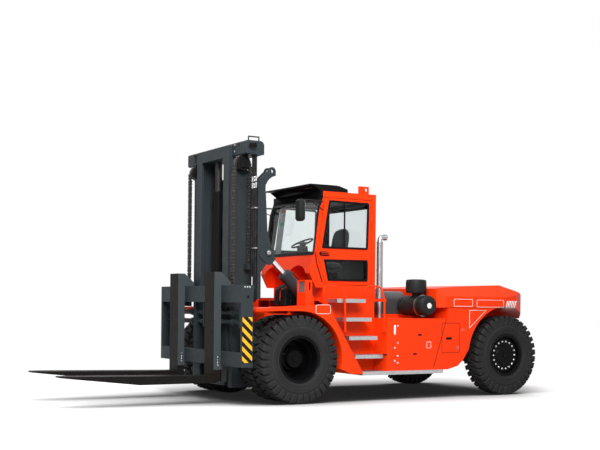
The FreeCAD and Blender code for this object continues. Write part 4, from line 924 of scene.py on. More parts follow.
def aimed(direction, roll=0.0):
    """A turn whose -Z looks along a direction and whose Y stays upright, rolled about the view."""
    back = -unit(np.asarray(direction, float))
    side = unit(np.cross((0, 0, 1), back))
    top = np.cross(back, side)
    turn_to = Matrix(np.stack([side, top, back], -1).tolist()).to_4x4()
    return turn_to @ Matrix.Rotation(roll, 4, "Z")


def camera():
    """A long lens at standing height, looking level at the front left corner, its frame shifted up."""
    lens = bpy.data.cameras.new("camera")
    lens.lens = 64.06
    lens.sensor_width = 36.0
    lens.shift_y = 0.132
    lens.clip_end = 300.0
    eye, azimuth, roll = (15.575, -9.084, 1.534), math.radians(59.3), 0.010
    look = (-math.sin(azimuth), math.cos(azimuth), 0.0)
    view = bpy.data.objects.new("camera", lens)
    view.matrix_world = Matrix.Translation(eye) @ aimed(look, roll)
    bpy.context.collection.objects.link(view)
    bpy.context.scene.camera = view


# --- wheels -----------------------------------------------------------------------

def turned(profile, steps=96, closed=True):
    """A profile turned about the wheel's axle, which lies on X."""
    return lathe(profile, ORIGIN, "X", steps, closed)


def tyre_section(half, rim, radius, height):
    """A casing's section from bead to bead: bulging walls, a squared shoulder, and a crown below the lugs."""
    base = radius - height
    wall = np.array([(0.775, 0.0), (0.80, 0.035), (0.91, 0.14), (0.985, 0.30), (1.0, 0.46), (0.955, 0.60),
                     (0.890, 0.76), (0.83, 0.88), (0.74, 0.955), (0.55, 0.985), (0.0, 1.0)])
    right = np.stack([wall[:, 0] * half, rim + wall[:, 1] * (base - rim)], -1)
    left = (right * (-1, 1))[-2::-1]
    seat = 0.74 * half
    return np.concatenate([right, left, [(-seat, rim - 0.004), (seat, rim - 0.004)]])


def lug(half, radius, height, width, sweep):
    """One traction lug: a bar from high on the wall over the shoulder to the crown's middle, slanting and
    flaring as it goes; each station is a four-cornered ring, narrower at its top, set round the tyre."""
    t = np.linspace(0, 1, 9)
    stations = [0, 0.20, 0.34, 0.44, 0.55, 1.0]
    across = half * np.interp(t, stations, [0.985, 0.995, 0.972, 0.91, 0.80, 0.05])
    top = radius * np.interp(t, stations, [0.795, 0.900, 0.958, 0.984, 0.995, 1.0])
    inner = np.stack([across - 0.030 * np.clip(1 - 2 * t, 0, 1) - 0.004, top - height * 1.3], -1)
    inner[0] = (across[0] - 0.03, top[0] - 0.01)
    outer = np.stack([across, top], -1)
    wide = width * np.interp(t, [0, 0.20, 0.60, 1.0], [0.86, 0.92, 0.98, 1.16])
    slant = sweep * np.interp(t, [0, 0.35, 1.0], [0.0, 0.05, 1.0])
    rings = []
    for place, side in ((inner, -0.5), (outer, -0.42), (outer, 0.42), (inner, 0.5)):
        angle = (slant + side * wide) / radius
        rings.append(np.stack([place[:, 0], place[:, 1] * np.sin(angle), place[:, 1] * np.cos(angle)], -1))
    return surface(np.stack(rings, 1))


def tyre(place):
    """A casing turned about X with a row of lugs on each shoulder, the rows half a pitch apart."""
    settings = bpy.context.scene.forklift_tyres
    half, radius, rim = TYRE_HALF, TYRE_RADIUS, RIM_RADIUS
    casing = turned(tyre_section(half, rim, radius, settings.lug_height))
    ribs = [turned([(half * 0.985, r - 0.004), (half * 0.999, r - 0.002), (half * 0.999, r + 0.002),
                    (half * 0.985, r + 0.004)]) for r in (rim + 0.055, rim + 0.150)]
    one = lug(half * 0.995, radius, settings.lug_height, settings.lug_width, settings.sweep)
    number = settings.lugs
    angles = np.arange(number) * TAU / number
    right = moved(one, np.zeros((number, 3)), turn("X", angles))
    left = moved(mirrored(one), np.zeros((number, 3)), turn("X", angles + TAU / number / 2))
    return moved(join(casing, *ribs, *(mirrored(r) for r in ribs), right, left), (place, 0, 0))


def ring_of(shape, radius, number):
    """Copies of a shape set at a radius round the X axis."""
    angles = np.arange(number) * TAU / number
    places = np.stack([np.zeros(number), radius * np.cos(angles), radius * np.sin(angles)], -1)
    return moved(shape, places)


TYRE_LOW, TYRE_HIGH = span("rear_tyre_left")
TYRE_RADIUS = (TYRE_HIGH[2] - TYRE_LOW[2]) / 2
TYRE_HALF = (TYRE_HIGH[0] - TYRE_LOW[0]) / 2
RIM_LOW, RIM_HIGH = span("rear_rim_left")
RIM_RADIUS = (RIM_HIGH[2] - RIM_LOW[2]) / 2


def rim_lip(outer, inner, barrel):
    """A rim's flange: from the barrel out round the bead and back, as (place, radius) pairs."""
    r = RIM_RADIUS
    return [(inner, barrel), (outer - 0.050, barrel), (outer - 0.020, barrel + 0.012),
            (outer - 0.012, r + 0.006), (outer - 0.002, r + 0.018), (outer - 0.010, r + 0.026),
            (outer - 0.024, r + 0.016), (outer - 0.030, r - 0.006), (inner, r - 0.006)]


def make_wheel(end, side, body, centre, pieces):
    """A wheel's pieces, made for the left: each one's name has its shape, finish, slot (not used) and
    replaced node.
    """
    for part, (shape, finish, slot, node) in pieces.items():
        make("%s_%s_%s_piece" % (end, part, side_name(side)), moved(on_side(shape, side), centre),
             "%s_%s" % (body, side_name(side)), finish, [node + side_name(side)] if node else (), 30)


def rear_wheel(side):
    """A rear wheel: flat disc with one ring of bright nuts, and a stepped hub cover."""
    face = RIM_HIGH[0] - middle("rear_tyre_left")[0]
    disc = face - 0.080
    rim = turned(rim_lip(face, -face, RIM_RADIUS - 0.033))
    plate = turned([(disc - 0.03, 0.10), (disc - 0.03, 0.312), (disc, 0.312), (disc + 0.004, 0.285),
                    (disc + 0.020, 0.275), (disc + 0.020, 0.175), (disc + 0.030, 0.165),
                    (disc + 0.034, 0.06), (disc + 0.030, 0.045), (disc, 0.045)])
    cover = turned([(disc + 0.02, 0.05), (disc + 0.040, 0.048), (disc + 0.046, 0.030)], 48, False)
    nuts = ring_of(bolt("X", (disc + 0.020, 0, 0), 0.0125, 0.016), 0.238, 18)
    make_wheel("rear", side, "rear_wheel", middle("rear_tyre_" + side_name(side)), {
        "tyre": (tyre(0), "rubber", "tyre_rubber", "rear_tyre_"),
        "rim": (join(rim, plate, cover), "rim", "black_paint", "rear_rim_"),
        "nuts": (nuts, "steel", "bright_steel", "")})


def front_wheel(side):
    """Twin front wheels on one hub: deep outer barrel, bolted flange and a planetary drum."""
    low, high = span("front_tyres_left")
    inner, outer = low[0] + TYRE_HALF, high[0] - TYRE_HALF
    rim_low, rim_high = span("front_rims_left")
    disc = (inner + outer) / 2
    barrel = RIM_RADIUS - 0.030
    outer_rim = turned(rim_lip(rim_high[0], disc + 0.03, barrel))
    inner_rim = mirrored(turned(rim_lip(-rim_low[0], -disc + 0.03, barrel)))
    step = turned([(outer - 0.02, barrel + 0.002), (outer - 0.02, barrel - 0.020),
                   (outer - 0.05, barrel - 0.028), (disc + 0.05, barrel - 0.028),
                   (disc + 0.05, barrel + 0.002)])
    plate = turned([(disc - 0.03, 0.10), (disc - 0.03, barrel), (disc + 0.03, barrel), (disc + 0.03, 0.21),
                    (disc + 0.045, 0.20), (disc + 0.06, 0.10)])
    drum = turned([(disc + 0.02, 0.195), (disc + 0.115, 0.188), (disc + 0.125, 0.178), (disc + 0.135, 0.150),
                   (disc + 0.200, 0.140), (disc + 0.215, 0.128), (disc + 0.222, 0.060)], 72, False)
    cap = turned([(disc + 0.21, 0.052), (disc + 0.240, 0.050), (disc + 0.247, 0.042), (disc + 0.247, 0.012)],
                 36, False)
    nuts = [ring_of(bolt("X", (disc + out, 0, 0), radius, height), ring, number)
            for out, radius, height, ring, number in ((0.030, 0.013, 0.018, 0.262, 24),
                                                      (0.124, 0.010, 0.010, 0.166, 18),
                                                      (0.217, 0.009, 0.010, 0.095, 12))]
    lining = collar("X", ORIGIN, rim_low[0] + 0.03, disc - 0.02, 0.12, 0.20, 48)
    make_wheel("front", side, "front_wheels", middle("front_tyres_left") * (0, 1, 1), {
        "tyres": (join(tyre(outer), tyre(inner)), "rubber", "tyre_rubber", "front_tyres_"),
        "rims": (join(outer_rim, inner_rim, step, plate, drum, cap, lining), "rim", "black_paint",
                 "front_rims_"),
        "nuts": (join(*nuts), "rim", "black_paint", "")})


# --- body -------------------------------------------------------------------------

def exhaust():
    """A pipe with an elbow to the rear in a ribbed heat shield, whose radius swells and sinks along it."""
    low, high = span("exhaust_stack")
    x, y = (low[0] + high[0]) / 2, low[1] + 0.055
    top = high[2] - 0.055
    path = rounded([(x, y, low[2]), (x, y, top), (x, high[1] - 0.010, top)], 0.075, 10)
    pipe = tube(path, 0.043, (1, 0.02, 0), 28)
    lip = tube(np.array([(x, high[1] - 0.045, top), (x, high[1], top)]), 0.051, (1, 0, 0), 28)
    z = np.arange(low[2] + 0.30, top - 0.08, 0.024)
    rings = np.stack([z + step for step in (0.0, 0.005, 0.013, 0.018)], -1).ravel()
    bulge = np.tile((0.0490, 0.0585, 0.0585, 0.0490), len(z))
    shield = lathe(np.stack([rings, bulge], -1), (x, y, 0), "Z", 32, closed=False)
    bands = [collar("Z", (x, y, 0), b, b + 0.022, 0.050, 0.0575)
             for b in (rings[0], rings[-1] - 0.02, (rings[0] + rings[-1]) / 2)]
    make("exhaust_pipe", join(pipe, lip), "chassis", "zinc", ["exhaust_stack"])
    make("exhaust_shield", join(shield, *bands), "chassis", "zinc")


def air_cleaner():
    """Ribbed can across the deck with a domed cap and blank disc, and a round pre-cleaner standing on it."""
    low, high = span("air_cleaner")
    radius, ribs, vane_count = 0.170, 22, 30
    y, z = high[1] - radius, low[2] + radius + 0.04
    end, top = high[0], high[2] - z
    places = np.linspace(low[0] - 0.15, end - 0.16, ribs)
    ribbed = np.where(np.arange(ribs) % 4 < 2, radius - 0.008, radius - 0.002)
    cap = [(0.155, radius), (0.150, radius), (0.060, radius), (0.052, radius - 0.006),
           (0.020, radius - 0.018), (0.008, radius - 0.035), (0.002, 0.082), (0.010, 0.078), (0.010, 0.050)]
    profile = [*zip(places, ribbed), *((end - back, r) for back, r in cap)]
    can = lathe(profile, (0, y, z), "X", 56, closed=False)
    disc = lathe([(end - 0.0098, 0.046), (end - 0.0070, 0.046), (end - 0.0062, 0.043)], (0, y, z), "X", 40,
                 closed=False)
    clamp = collar("X", (0, y, z), end - 0.225, end - 0.195, radius - 0.006, radius + 0.008, 56)
    foot = (low[0] + 0.175, low[1] + 0.175, z)
    wall = [(0.235, 0.07), (0.232, 0.168), (0.225, 0.172), (0.030, 0.172), (0.014, 0.166), (0.004, 0.120),
            (0.001, 0.05)]
    bowl = lathe([(-0.02, 0.07), *((top - down, r) for down, r in wall)], foot, "Z", 48, closed=False)
    vanes = moved(block((0.166, -0.006, top - 0.205), (0.1745, 0.006, top - 0.050), 0.002),
                  np.tile(foot, (vane_count, 1)), turn("Z", np.arange(vane_count) * TAU / vane_count))
    make("air_cleaner_body", join(can, bowl, vanes), "chassis", "plastic", ["air_cleaner"])
    make("air_cleaner_clamp", clamp, "chassis", "steel")
    make("air_cleaner_disc", disc, "chassis", "white")


BODY_SIDE = span("rear_panel_left")[1][0]
SUNK = BODY_SIDE - 0.001
MARK_THICK = 0.0012
RAIL_FOOT = span("hand_rails")[0][2] + 0.004


def rails():
    """Two bent grab rails on each side, each a round bar with curved corners, on small feet."""
    x = span("hand_rails")[1][0] - 0.020
    paths = [[(x - 0.10, -0.27, 1.57), (x, -0.27, 1.66), (x, -0.27, 1.825), (x, 0.07, 1.825), (x, 0.13, 1.60),
              (x, 0.14, RAIL_FOOT)],
             [(x - 0.10, 0.50, 1.64), (x, 0.50, 1.74), (x, 0.52, 1.83), (x, 0.81, 1.83), (x, 0.89, 1.62),
              (x, 0.89, RAIL_FOOT)]]
    bars = [tube(rounded(path, 0.075, 8), 0.016, (1, 0.01, 0.02), 12) for path in paths]
    feet = [block((x - 0.034, y - 0.020, RAIL_FOOT - 0.004), (x + 0.018, y + 0.020, RAIL_FOOT + 0.010), 0.002)
            for y in (path[-1][1] for path in paths)]
    make("grab_rails", both(join(*bars, *feet)), "chassis", "body", ["hand_rails"])


def weight_side(y):
    """X of the counterweight's side at a length y: flat to the tail's start, then in along its plan curve."""
    tail_start = span("counterweight")[1][1] - 0.83
    return BODY_SIDE - np.interp(y - tail_start, [-1, 0.0, 0.27, 0.49], [0.0, 0.0, 0.040, 0.170])


def side_line(outline, width, side=BODY_SIDE, out=MARK_THICK):
    """A thin closed line on the truck's side, drawn round an outline in Y and Z."""
    return outline_strip("X", outline, width, side - 0.001, side + out)


def body_marks():
    """Blank slanting white bars and blank outlined plates along the counterweight's side band, a blank
    triangle beside each rear arch and a blank rounded plate on each fender."""
    tail = span("counterweight")[1][1]
    one = np.array([(0.0, 1.503), (0.024, 1.503), (0.062, 1.625), (0.038, 1.625)])
    bars = []
    for n in range(7):
        y, z = (one + (tail - 0.835 + 0.043 * n, 0)).T
        faces = [np.stack([weight_side(y) + out, y, z], -1) for out in (-0.002, 0.0016)]
        bars.append(surface(np.stack(faces)))
    make("white_bars", both(join(*bars)), "chassis", "white", smooth=0)
    wing = span("fender_left")[1][0]
    plates = [side_line(rectangle((2.275, 1.522), (2.680, 1.648), 0.014), 0.007),
              side_line(rectangle((2.772, 1.512), (3.372, 1.640), 0.014), 0.007),
              side_line([(2.610, 1.462), (2.610, 1.150), (2.985, 1.462)], 0.008),
              side_line(rectangle((-0.477, 1.387), (-0.204, 1.530), 0.035), 0.007, wing, 0.0003)]
    make("blank_plates", both(join(*plates)), "chassis", "white", smooth=0)


def side_bar(start, end, width):
    """A thin flat line on the body's side between two (Y, Z) points."""
    start, end = np.array(start), np.array(end)
    across = np.array((end[1] - start[1], start[0] - end[0]))
    across = across / np.linalg.norm(across) * width / 2
    return slab("X", [start - across, end - across, end + across, start + across], SUNK,
                BODY_SIDE + MARK_THICK, 0.0)


def side_seams():
    """Dark lines where the side panels meet, the hatch's outline, small slots as black patches of painted
    shade, a black sheet of painted shade deep in the fender post's window recess, and the tank's sight glass.
    """
    lines = [side_bar((1.99, 1.500), (3.200, 1.500), 0.007), side_bar((2.120, 1.312), (1.862, 0.520), 0.008),
             side_line(rectangle((2.024, 0.745), (2.408, 1.246), 0.03), 0.006, out=0.0010)]
    slots = [(2.175, 0.987, 0.120, 0.040), *((y, z, 0.075, 0.028) for y, z in
                                             ((1.570, 1.050), (1.472, 0.738), (0.872, 0.732)))]
    # painted shade: the slots are flat black patches for their dark insides
    for y, z, wide, tall in slots:
        lines.append(block((SUNK, y - wide / 2, z - tall / 2),
                           (BODY_SIDE + 0.0014, y + wide / 2, z + tall / 2), 0.0005, "X", 0.010))
    # painted shade: a black sheet at the bottom of the fender post's window recess
    post = span("fender_left")[1][0] - 0.134
    lines.append(block((post, -0.540, 1.760), (post + 0.001, -0.505, 1.875), 0.0))
    make("side_seams", both(join(*lines)), "chassis", "black", smooth=0)
    glass = block((SUNK, 1.046, 1.055), (BODY_SIDE + 0.006, 1.082, 1.210), 0.002, "X", 0.012)
    window = side_line(rectangle((1.712, 0.830), (1.802, 0.935), 0.008), 0.006)
    make("sight_glasses", both(join(glass, window)), "chassis", "white", smooth=0)


def panel_bolts():
    """Bolt heads along the side tanks and rear panels, and round reflectors."""
    places = [*((1.126, z) for z in (1.198, 0.922, 0.711, 0.597)), (1.070, 0.842), (1.070, 0.631)]
    heads = [bolt("X", (BODY_SIDE, y, z), 0.013, 0.008) for y, z in places]
    make("panel_bolts", both(join(*heads)), "chassis", "steel")
    profile = [(BODY_SIDE - 0.0005, 0.032), (BODY_SIDE + 0.0045, 0.032), (BODY_SIDE + 0.0060, 0.028)]
    spots = [lathe(profile, (0, y, z), "X", 28, closed=False) for y, z in ((2.47, 1.13), (2.36, 0.83))]
    make("reflectors", both(join(*spots)), "chassis", "amber")


# --- cab --------------------------------------------------------------------------

DOOR = dict(zip(("low", "high"), span("cab_door")))
CAB = dict(zip(("low", "high"), span("cab_shell")))
UPPER_PANE = np.array([(0.085, 0.590), (0.985, 0.590), (1.005, 1.370), (0.215, 1.380)])
LOWER_PANE = np.array([(0.205, 0.060), (0.985, 0.060), (0.985, 0.420), (0.120, 0.410)])


def door_panes():
    """The door's two panes as outlines in Y and Z, set from the door's lower front corner."""
    corner = DOOR["low"][1:]
    return [soft(pane + corner, 0.05) for pane in (UPPER_PANE, LOWER_PANE)]


def door_fittings():
    """Gaskets and the middle post of the door's panes, and its handle in a pocket."""
    gasket = bpy.context.scene.forklift_cab.gasket
    low, face = DOOR["low"], CAB["high"][0] - 0.0145
    rings = [surround("X", outline, gasket, face - 0.004, face + 0.007) for outline in door_panes()]
    post = block((face - 0.012, 0.500, low[2] + 0.60), (face + 0.002, 0.524, low[2] + 1.37), 0.003)
    make("door_gaskets", join(*rings, post), "cab_door", "black")
    y, z = low[1] + 0.030, low[2] + 0.502
    hollow = rectangle((y, z - 0.036), (y + 0.200, z + 0.034), 0.034)
    grip = rounded([(face, y + 0.030, z), (face + 0.030, y + 0.040, z), (face + 0.030, y + 0.155, z),
                    (face, y + 0.165, z)], 0.02)
    handle = join(slab("X", hollow, face - 0.002, face + 0.003, 0.001), tube(grip, 0.009, (0, 0, 1), 10))
    make("door_handle", handle, "cab_door", "black")


def window_fittings():
    """Gaskets of the right side's panes and of the rear pane."""
    gasket = bpy.context.scene.forklift_cab.gasket
    low, high = CAB["low"], CAB["high"]
    sides = [mirrored(surround("X", outline, gasket, high[0] - 0.003, high[0] + 0.006))
             for outline in door_panes()]
    rear = soft(rectangle((low[2] + 0.80, -0.69), (high[2] - 0.09, 0.69)), 0.06)
    back = surround("Y", rear, gasket * 1.6, high[1] - 0.003, high[1] + 0.006)
    make("window_gaskets", join(*sides, back), "chassis", "black")


FRONT_FOOT = (CAB["low"][1] + 0.080, CAB["low"][2])
FRONT_EDGE = np.array([(0.000, 0.700), (0.090, 1.440), (0.170, 1.660)]) + FRONT_FOOT


def ribbon(path, thick):
    """An outline in Y and Z that runs up a path and back down it a little in front."""
    path = np.asarray(path)
    return np.concatenate([path + (0.003, 0), path[::-1] - (thick, 0)])


def screen_frame():
    """Black faces of the windscreen's pillars, sill and header, the seam ahead of the door, and the plate
    that closes the visor's rear."""
    half = CAB["high"][0] - 0.024
    bottom, knee, top = FRONT_EDGE
    between = lambda start, end, z: start + (end - start) * (z - start[1]) / (end[1] - start[1])
    sill = [bottom, between(bottom, knee, bottom[1] + 0.050)]
    header = [between(knee, top, top[1] - 0.045), top]
    brow = [top - (0.005, 0), top + (-0.005, 0.083)]
    pillar = slab("X", ribbon(FRONT_EDGE, 0.004), half - 0.050, half + 0.001, 0.0)
    bars = [slab("X", ribbon(path, 0.006), -half, half, 0.0) for path in (sill, header, brow)]
    apron = block((-0.735, top[0] + 0.010, top[1] + 0.084), (0.735, top[0] + 0.020, top[1] + 0.165), 0.001)
    make("screen_frame", join(both(pillar), *bars, apron), "chassis", "black", smooth=0)
    seam = [(half + 0.001, y, z) for y, z in
            ((-0.040, 2.375), (-0.032, 2.250), (0.030, 2.070), (0.092, 1.900))]
    make("door_seam", tube(rounded(seam, 0.15, 6), 0.010, (1, 0, 0), 8), "chassis", "black")


def switch_panel():
    """A column of blank keys leaning up the far front corner, with one red and one green lamp."""
    wall = -CAB["high"][0] + 0.124
    foot, head = np.array((0.085, 2.400)), np.array((0.200, 3.270))
    at = lambda t, across: foot + (head - foot) * t + (across, 0)
    quad = lambda a, b, y0, y1: np.array([at(a, y0), at(a, y1), at(b, y1), at(b, y0)])
    board = slab("X", quad(0, 1, 0.0, 0.105), wall - 0.03, wall, 0.002)
    lamps = {"green": 0.57, "amber": 0.84}
    keys = [slab("X", quad(t, t + 0.085, 0.012, 0.093), wall, wall + 0.012, 0.003)
            for t in np.linspace(0.03, 0.87, 8)[:-1] if not 0.55 < t < 0.66]
    make("switch_board", board, "chassis", "zinc")
    make("switch_keys", join(*keys), "chassis", "zinc")
    for finish, t in lamps.items():
        make("switch_lamp_" + finish, slab("X", quad(t, t + 0.075, 0.018, 0.086), wall, wall + 0.014, 0.003),
             "chassis", finish)


def valve_block():
    """Control valves on the deck's front under the cab, with looped hoses and bright fittings."""
    front, foot, top = CAB["low"][1] - 0.16, 1.50, 1.78
    valves = [block((x, front, foot), (x + 0.085, front + 0.16, top), 0.008)
              for x in np.arange(0.16, 0.74, 0.10)]
    loops, ends = [], []
    for n, x in enumerate(np.arange(0.17, 0.76, 0.085)):
        reach = 0.10 + 0.02 * (n % 3)
        path = [(x + 0.03, front + 0.10, top), (x + 0.03, front + 0.09, top + 0.08 - 0.02 * (n % 2)),
                (x + 0.02, front - reach, top + 0.02), (x - 0.02, front - reach, foot + 0.02)]
        loops.append(tube(rounded(path, 0.07, 8), 0.016, (1, 0.1, 0), 10))
        ends.append(collar("Z", (x + 0.03, front + 0.10, top + 0.02), -0.03, 0.02, 0.015, 0.021, 10))
    make("valve_block", join(*valves), "chassis", "black")
    make("valve_hoses", join(*loops), "chassis", "hose")
    make("valve_fittings", join(*ends), "chassis", "steel")


def pillow(low, high, crown, pinch=0.012, rows=20, cols=32, seams=()):
    """A crowned cushion: a squared ring (superellipse) carried in Z, swelling at mid height, its top and
    bottom rising to the middle by the crown; seams press fine grooves across Y."""
    middle_point = (np.asarray(low) + high) / 2
    half = (np.asarray(high) - low) / 2
    v = np.linspace(-1, 1, rows)[:, None] * TAU / 4
    u = (np.arange(cols) * TAU / cols)[None, :]
    power = lambda value, p: np.sign(value) * np.abs(value) ** p
    ring = power(np.cos(v), 0.28)
    x = half[0] * ring * power(np.cos(u), 0.42)
    y = half[1] * ring * power(np.sin(u), 0.42)
    z = half[2] * power(np.sin(v), 0.55) * np.ones_like(u)
    swell = 1 - (x / half[0]) ** 2 * 0.5 - (y / half[1]) ** 2 * 0.5
    z = z + np.sign(z) * (crown * swell - pinch) * (np.abs(np.sin(v)) > 0.3)
    for place in seams:
        z = z - np.sign(z) * 0.012 * np.exp(-((y - place) / 0.012) ** 2)
    points = np.stack([x, y, z], -1)[1:-1] + middle_point
    return surface(points)


def seat():
    """Sprung base, crowned cushion, tall back with a headrest and two arm rests."""
    crown = bpy.context.scene.forklift_cab.crown
    front, floor = span("driver_seat")[0][1:]
    at = lambda x, y, z: (x, front + y, floor + z)
    lean = turn("X", math.radians(80))
    cushion = pillow(at(-0.245, 0.01, 0.420), at(0.245, 0.46, 0.540), crown, seams=(-0.10, 0.04))
    back = pillow((-0.220, -0.33, -0.060), (0.220, 0.33, 0.050), crown * 0.8, seams=(-0.15, 0.10))
    head = pillow((-0.130, -0.085, -0.045), (0.130, 0.085, 0.045), 0.01, cols=24)
    for name, shape, fill in (("seat_cushion", cushion, 0.7),
                              ("seat_back", moved(back, at(0, 0.515, 0.800), lean), 0.7),
                              ("seat_headrest", moved(head, at(0, 0.585, 1.060), lean), 0.8)):
        swaps = ["driver_seat"] if name == "seat_cushion" else ()
        piece = make(name, shape, "chassis", "cloth", swaps, smooth=60)
    bellows = []
    for n in range(7):
        half, foot = 0.19 - 0.006 * (n % 2), 0.10 + 0.04 * n
        bellows.append(block(at(-half, 0.07, foot), at(half, 0.39, foot + 0.038), 0.008, "Z", 0.04))
    plinth = block(at(-0.20, 0.05, 0), at(0.20, 0.41, 0.10), 0.01, "Z", 0.03)
    arms = both(join(block(at(0.262, 0.10, 0.625), at(0.315, 0.42, 0.670), 0.014, "Y", 0.016),
                     block(at(0.250, 0.42, 0.56), at(0.285, 0.47, 0.66), 0.008)))
    make("seat_base", join(plinth, *bellows, arms), "chassis", "plastic")


def mirror_heads():
    """Rounded mirror shells on bent arms, with glass on their rear faces."""
    low, high = span("mirrors")
    tip, front, foot, top = high[0], low[1], low[2], high[2]
    wall = CAB["high"][0] + 0.003
    shell = block((tip - 0.185, front + 0.004, foot - 0.040), (tip - 0.004, front + 0.105, top - 0.012),
                  0.024, "Y", 0.050)
    arm = rounded([(wall, front + 0.525, top - 0.014), (tip - 0.16, front + 0.520, top - 0.014),
                   (tip - 0.10, front + 0.16, top - 0.014), (tip - 0.10, front + 0.052, top - 0.060)], 0.06)
    brace = [(wall, front + 0.530, top - 0.150), (tip - 0.115, front + 0.250, top - 0.016)]
    glass = block((tip - 0.168, front + 0.103, foot - 0.02), (tip - 0.020, front + 0.1065, top - 0.030),
                  0.001, "Y", 0.03)
    shells = join(shell, tube(arm, 0.013, (0.2, 0, 1), 10), tube(brace, 0.008, (0.2, 0, 1), 8))
    make("mirror_shells", both(shells), "chassis", "plastic", ["mirrors"])
    make("mirror_glass", both(glass), "chassis", "chrome")


def roof_lining():
    """A dark lining under the roof."""
    low, high = CAB["low"], CAB["high"]
    lining = block((low[0] + 0.07, low[1] + 0.36, high[2] - 0.035),
                   (high[0] - 0.085, high[1] - 0.07, high[2] - 0.006), 0.004)
    make("roof_lining", lining, "chassis", "plastic")


# --- mast, carriage and forks -----------------------------------------------------

def leaf_link(pitch, thick, offset, radius):
    """A chain leaf: two round ends joined by a narrower waist, standing in Z, its thickness along X."""
    t = np.linspace(0, 1, 9)
    angle = (t - 0.5) * TAU * 0.78
    top = np.stack([radius * np.sin(angle), pitch / 2 + radius * np.cos(angle)], -1)
    bottom = top * (-1, -1)
    outline = np.concatenate([top[::-1], bottom[::-1]])
    return slab("X", outline, offset - thick / 2, offset + thick / 2, thick * 0.2)


LEAF = 0.0085


def chain_run(node, name, body):
    """Leaf chain in place of a plain bar: leaves of two rows step by half, with a pin through each joint."""
    low, high = span(node)
    number = int((high[2] - low[2]) / bpy.context.scene.forklift_mast.link_pitch)
    pitch = (high[2] - low[2]) / number
    y = (low[1] + high[1]) / 2
    radius = (high[1] - low[1]) / 2 * 0.98
    outer = [leaf_link(pitch, LEAF, o, radius) for o in (-0.0345, 0.0, 0.0345)]
    inner = [leaf_link(pitch, LEAF, o, radius * 0.86) for o in (-0.0172, 0.0172)]
    pin = slab("X", circle(radius * 0.42, steps=10), -0.0395, 0.0395, 0.002)
    odd, even = (low[2] + pitch * (np.arange(n, number, 2) + 0.5) for n in (0, 1))
    joints = low[2] + pitch * np.arange(1, number)
    for side in (LEFT, RIGHT):
        at = lambda zs: np.stack([np.full(len(zs), side * CHAIN_X), np.full(len(zs), y), zs], -1)
        shape = join(moved(join(*outer), at(odd)), moved(join(*inner), at(even)), moved(pin, at(joints)))
        make("%s_%s" % (name, side_name(side)), shape, body, "chain",
             [node] if side == LEFT else (), smooth=30)


CHAIN_X = span("carriage_chains")[1][0] - 0.040
BEAM_FRONT = span("inner_mast")[0][1] + 0.060
BEAM_TOP = span("inner_mast")[1][2] - 0.073


def sheaves():
    """Grooved wheels at the crossmember's underside, each with a hub, and the leaves that wrap over them:
    standing on the groove and turned round the pin."""
    front, rear = span("carriage_chains"), span("anchor_chains")
    pin = (CHAIN_X, (front[1][1] + rear[0][1]) / 2, rear[1][2])
    radius = (rear[0][1] - front[1][1]) / 2
    wheel = lathe([(-0.054, 0.03), (-0.054, radius), (-0.044, radius), (-0.040, radius - 0.010),
                   (0.040, radius - 0.010), (0.044, radius), (0.054, radius), (0.054, 0.03)], pin, "X", 48)
    hub = lathe([(-0.062, 0.045), (0.062, 0.045), (0.066, 0.035)], pin, "X", 24, closed=False)
    angles = np.linspace(0, TAU / 2, 11)
    leaf = join(*(slab("X", rectangle((-0.020, 0.0), (0.020, 0.032), 0.008), o - 0.0026, o + 0.0026, 0.001)
                  for o in np.linspace(-0.0355, 0.0355, 9)))
    wrap = moved(moved(leaf, (0, 0, radius - 0.004)), np.zeros((len(angles), 3)), turn("X", angles - TAU / 4))
    make("sheaves", both(join(wheel, hub)), "inner_mast", "black")
    make("sheave_chains", both(moved(wrap, pin)), "inner_mast", "chain")


def hose_bundle():
    """Hoses hanging from the crossmember beside the mast, with crimped ends on some and two bright clamps."""
    settings = bpy.context.scene.forklift_mast
    radius = settings.hose_radius
    low, high = span("mast_hoses")
    first, last = low[0] + radius, high[0] - radius
    y, top = (low[1] + high[1]) / 2, high[2]
    lines, ends = [], []
    crimp = [(-0.035, 0.90), (-0.033, 1.18), (0.020, 1.18), (0.024, 1.45), (0.045, 1.45), (0.048, 1.0)]
    ferrule = lathe([(z, radius * wide) for z, wide in crimp], ORIGIN, "Z", 12, closed=False)
    for n, x in enumerate(np.linspace(first, last, settings.hoses)):
        back = y + 0.012 * ((n % 2) - 0.5)
        path = rounded([(x, back, z) for z in (top - 0.002, (low[2] + top) / 2, low[2] + 0.05)], 0.05)
        lines.append(tube(path, radius, (0, 1, 0), 14))
        if n % 2 == 0:
            ends += [moved(ferrule, (x, back, top - drop)) for drop in (0.35, 0.45)]
    make("mast_hose_lines", join(*lines), "inner_mast", "hose", ["mast_hoses"])
    clamps = [block((first - radius - 0.002, y - 0.024, z), (last + radius + 0.002, y + 0.024, z + 0.022),
                    0.004, "Z", 0.010) for z in (top - 0.80, top - 1.42)]
    make("mast_hose_clamps", join(*clamps, *ends), "inner_mast", "steel")


def crossmember_fittings():
    """Bolt squares on the mast's top beam, with its oval slots and the oval port in its end as flat black
    sheets of painted shade.
    """
    heads = [bolt("Y", (x, BEAM_FRONT, z), 0.013, 0.010, -1)
             for x in (0.545, 0.665) for z in (BEAM_TOP - 0.035, BEAM_TOP - 0.135)]
    make("beam_bolts", join(*heads), "inner_mast", "steel")
    # painted shade: flat black ovals stand for the dark insides of the beam's slots and port
    holes = [slab("Y", rectangle((BEAM_TOP - 0.175, x - 0.034), (BEAM_TOP - 0.025, x + 0.034), 0.032),
                  BEAM_FRONT - 0.0015, BEAM_FRONT + 0.002, 0.0) for x in (-0.745, 0.380)]
    low, high = span("inner_mast")
    y, z = low[1] + 0.135, BEAM_TOP - 0.090
    port = slab("X", rectangle((y - 0.068, z - 0.036), (y + 0.068, z + 0.036), 0.034), high[0] - 0.003,
                high[0] - 0.0002, 0.0)
    make("beam_slot_shades", join(*holes, port), "inner_mast", "black")


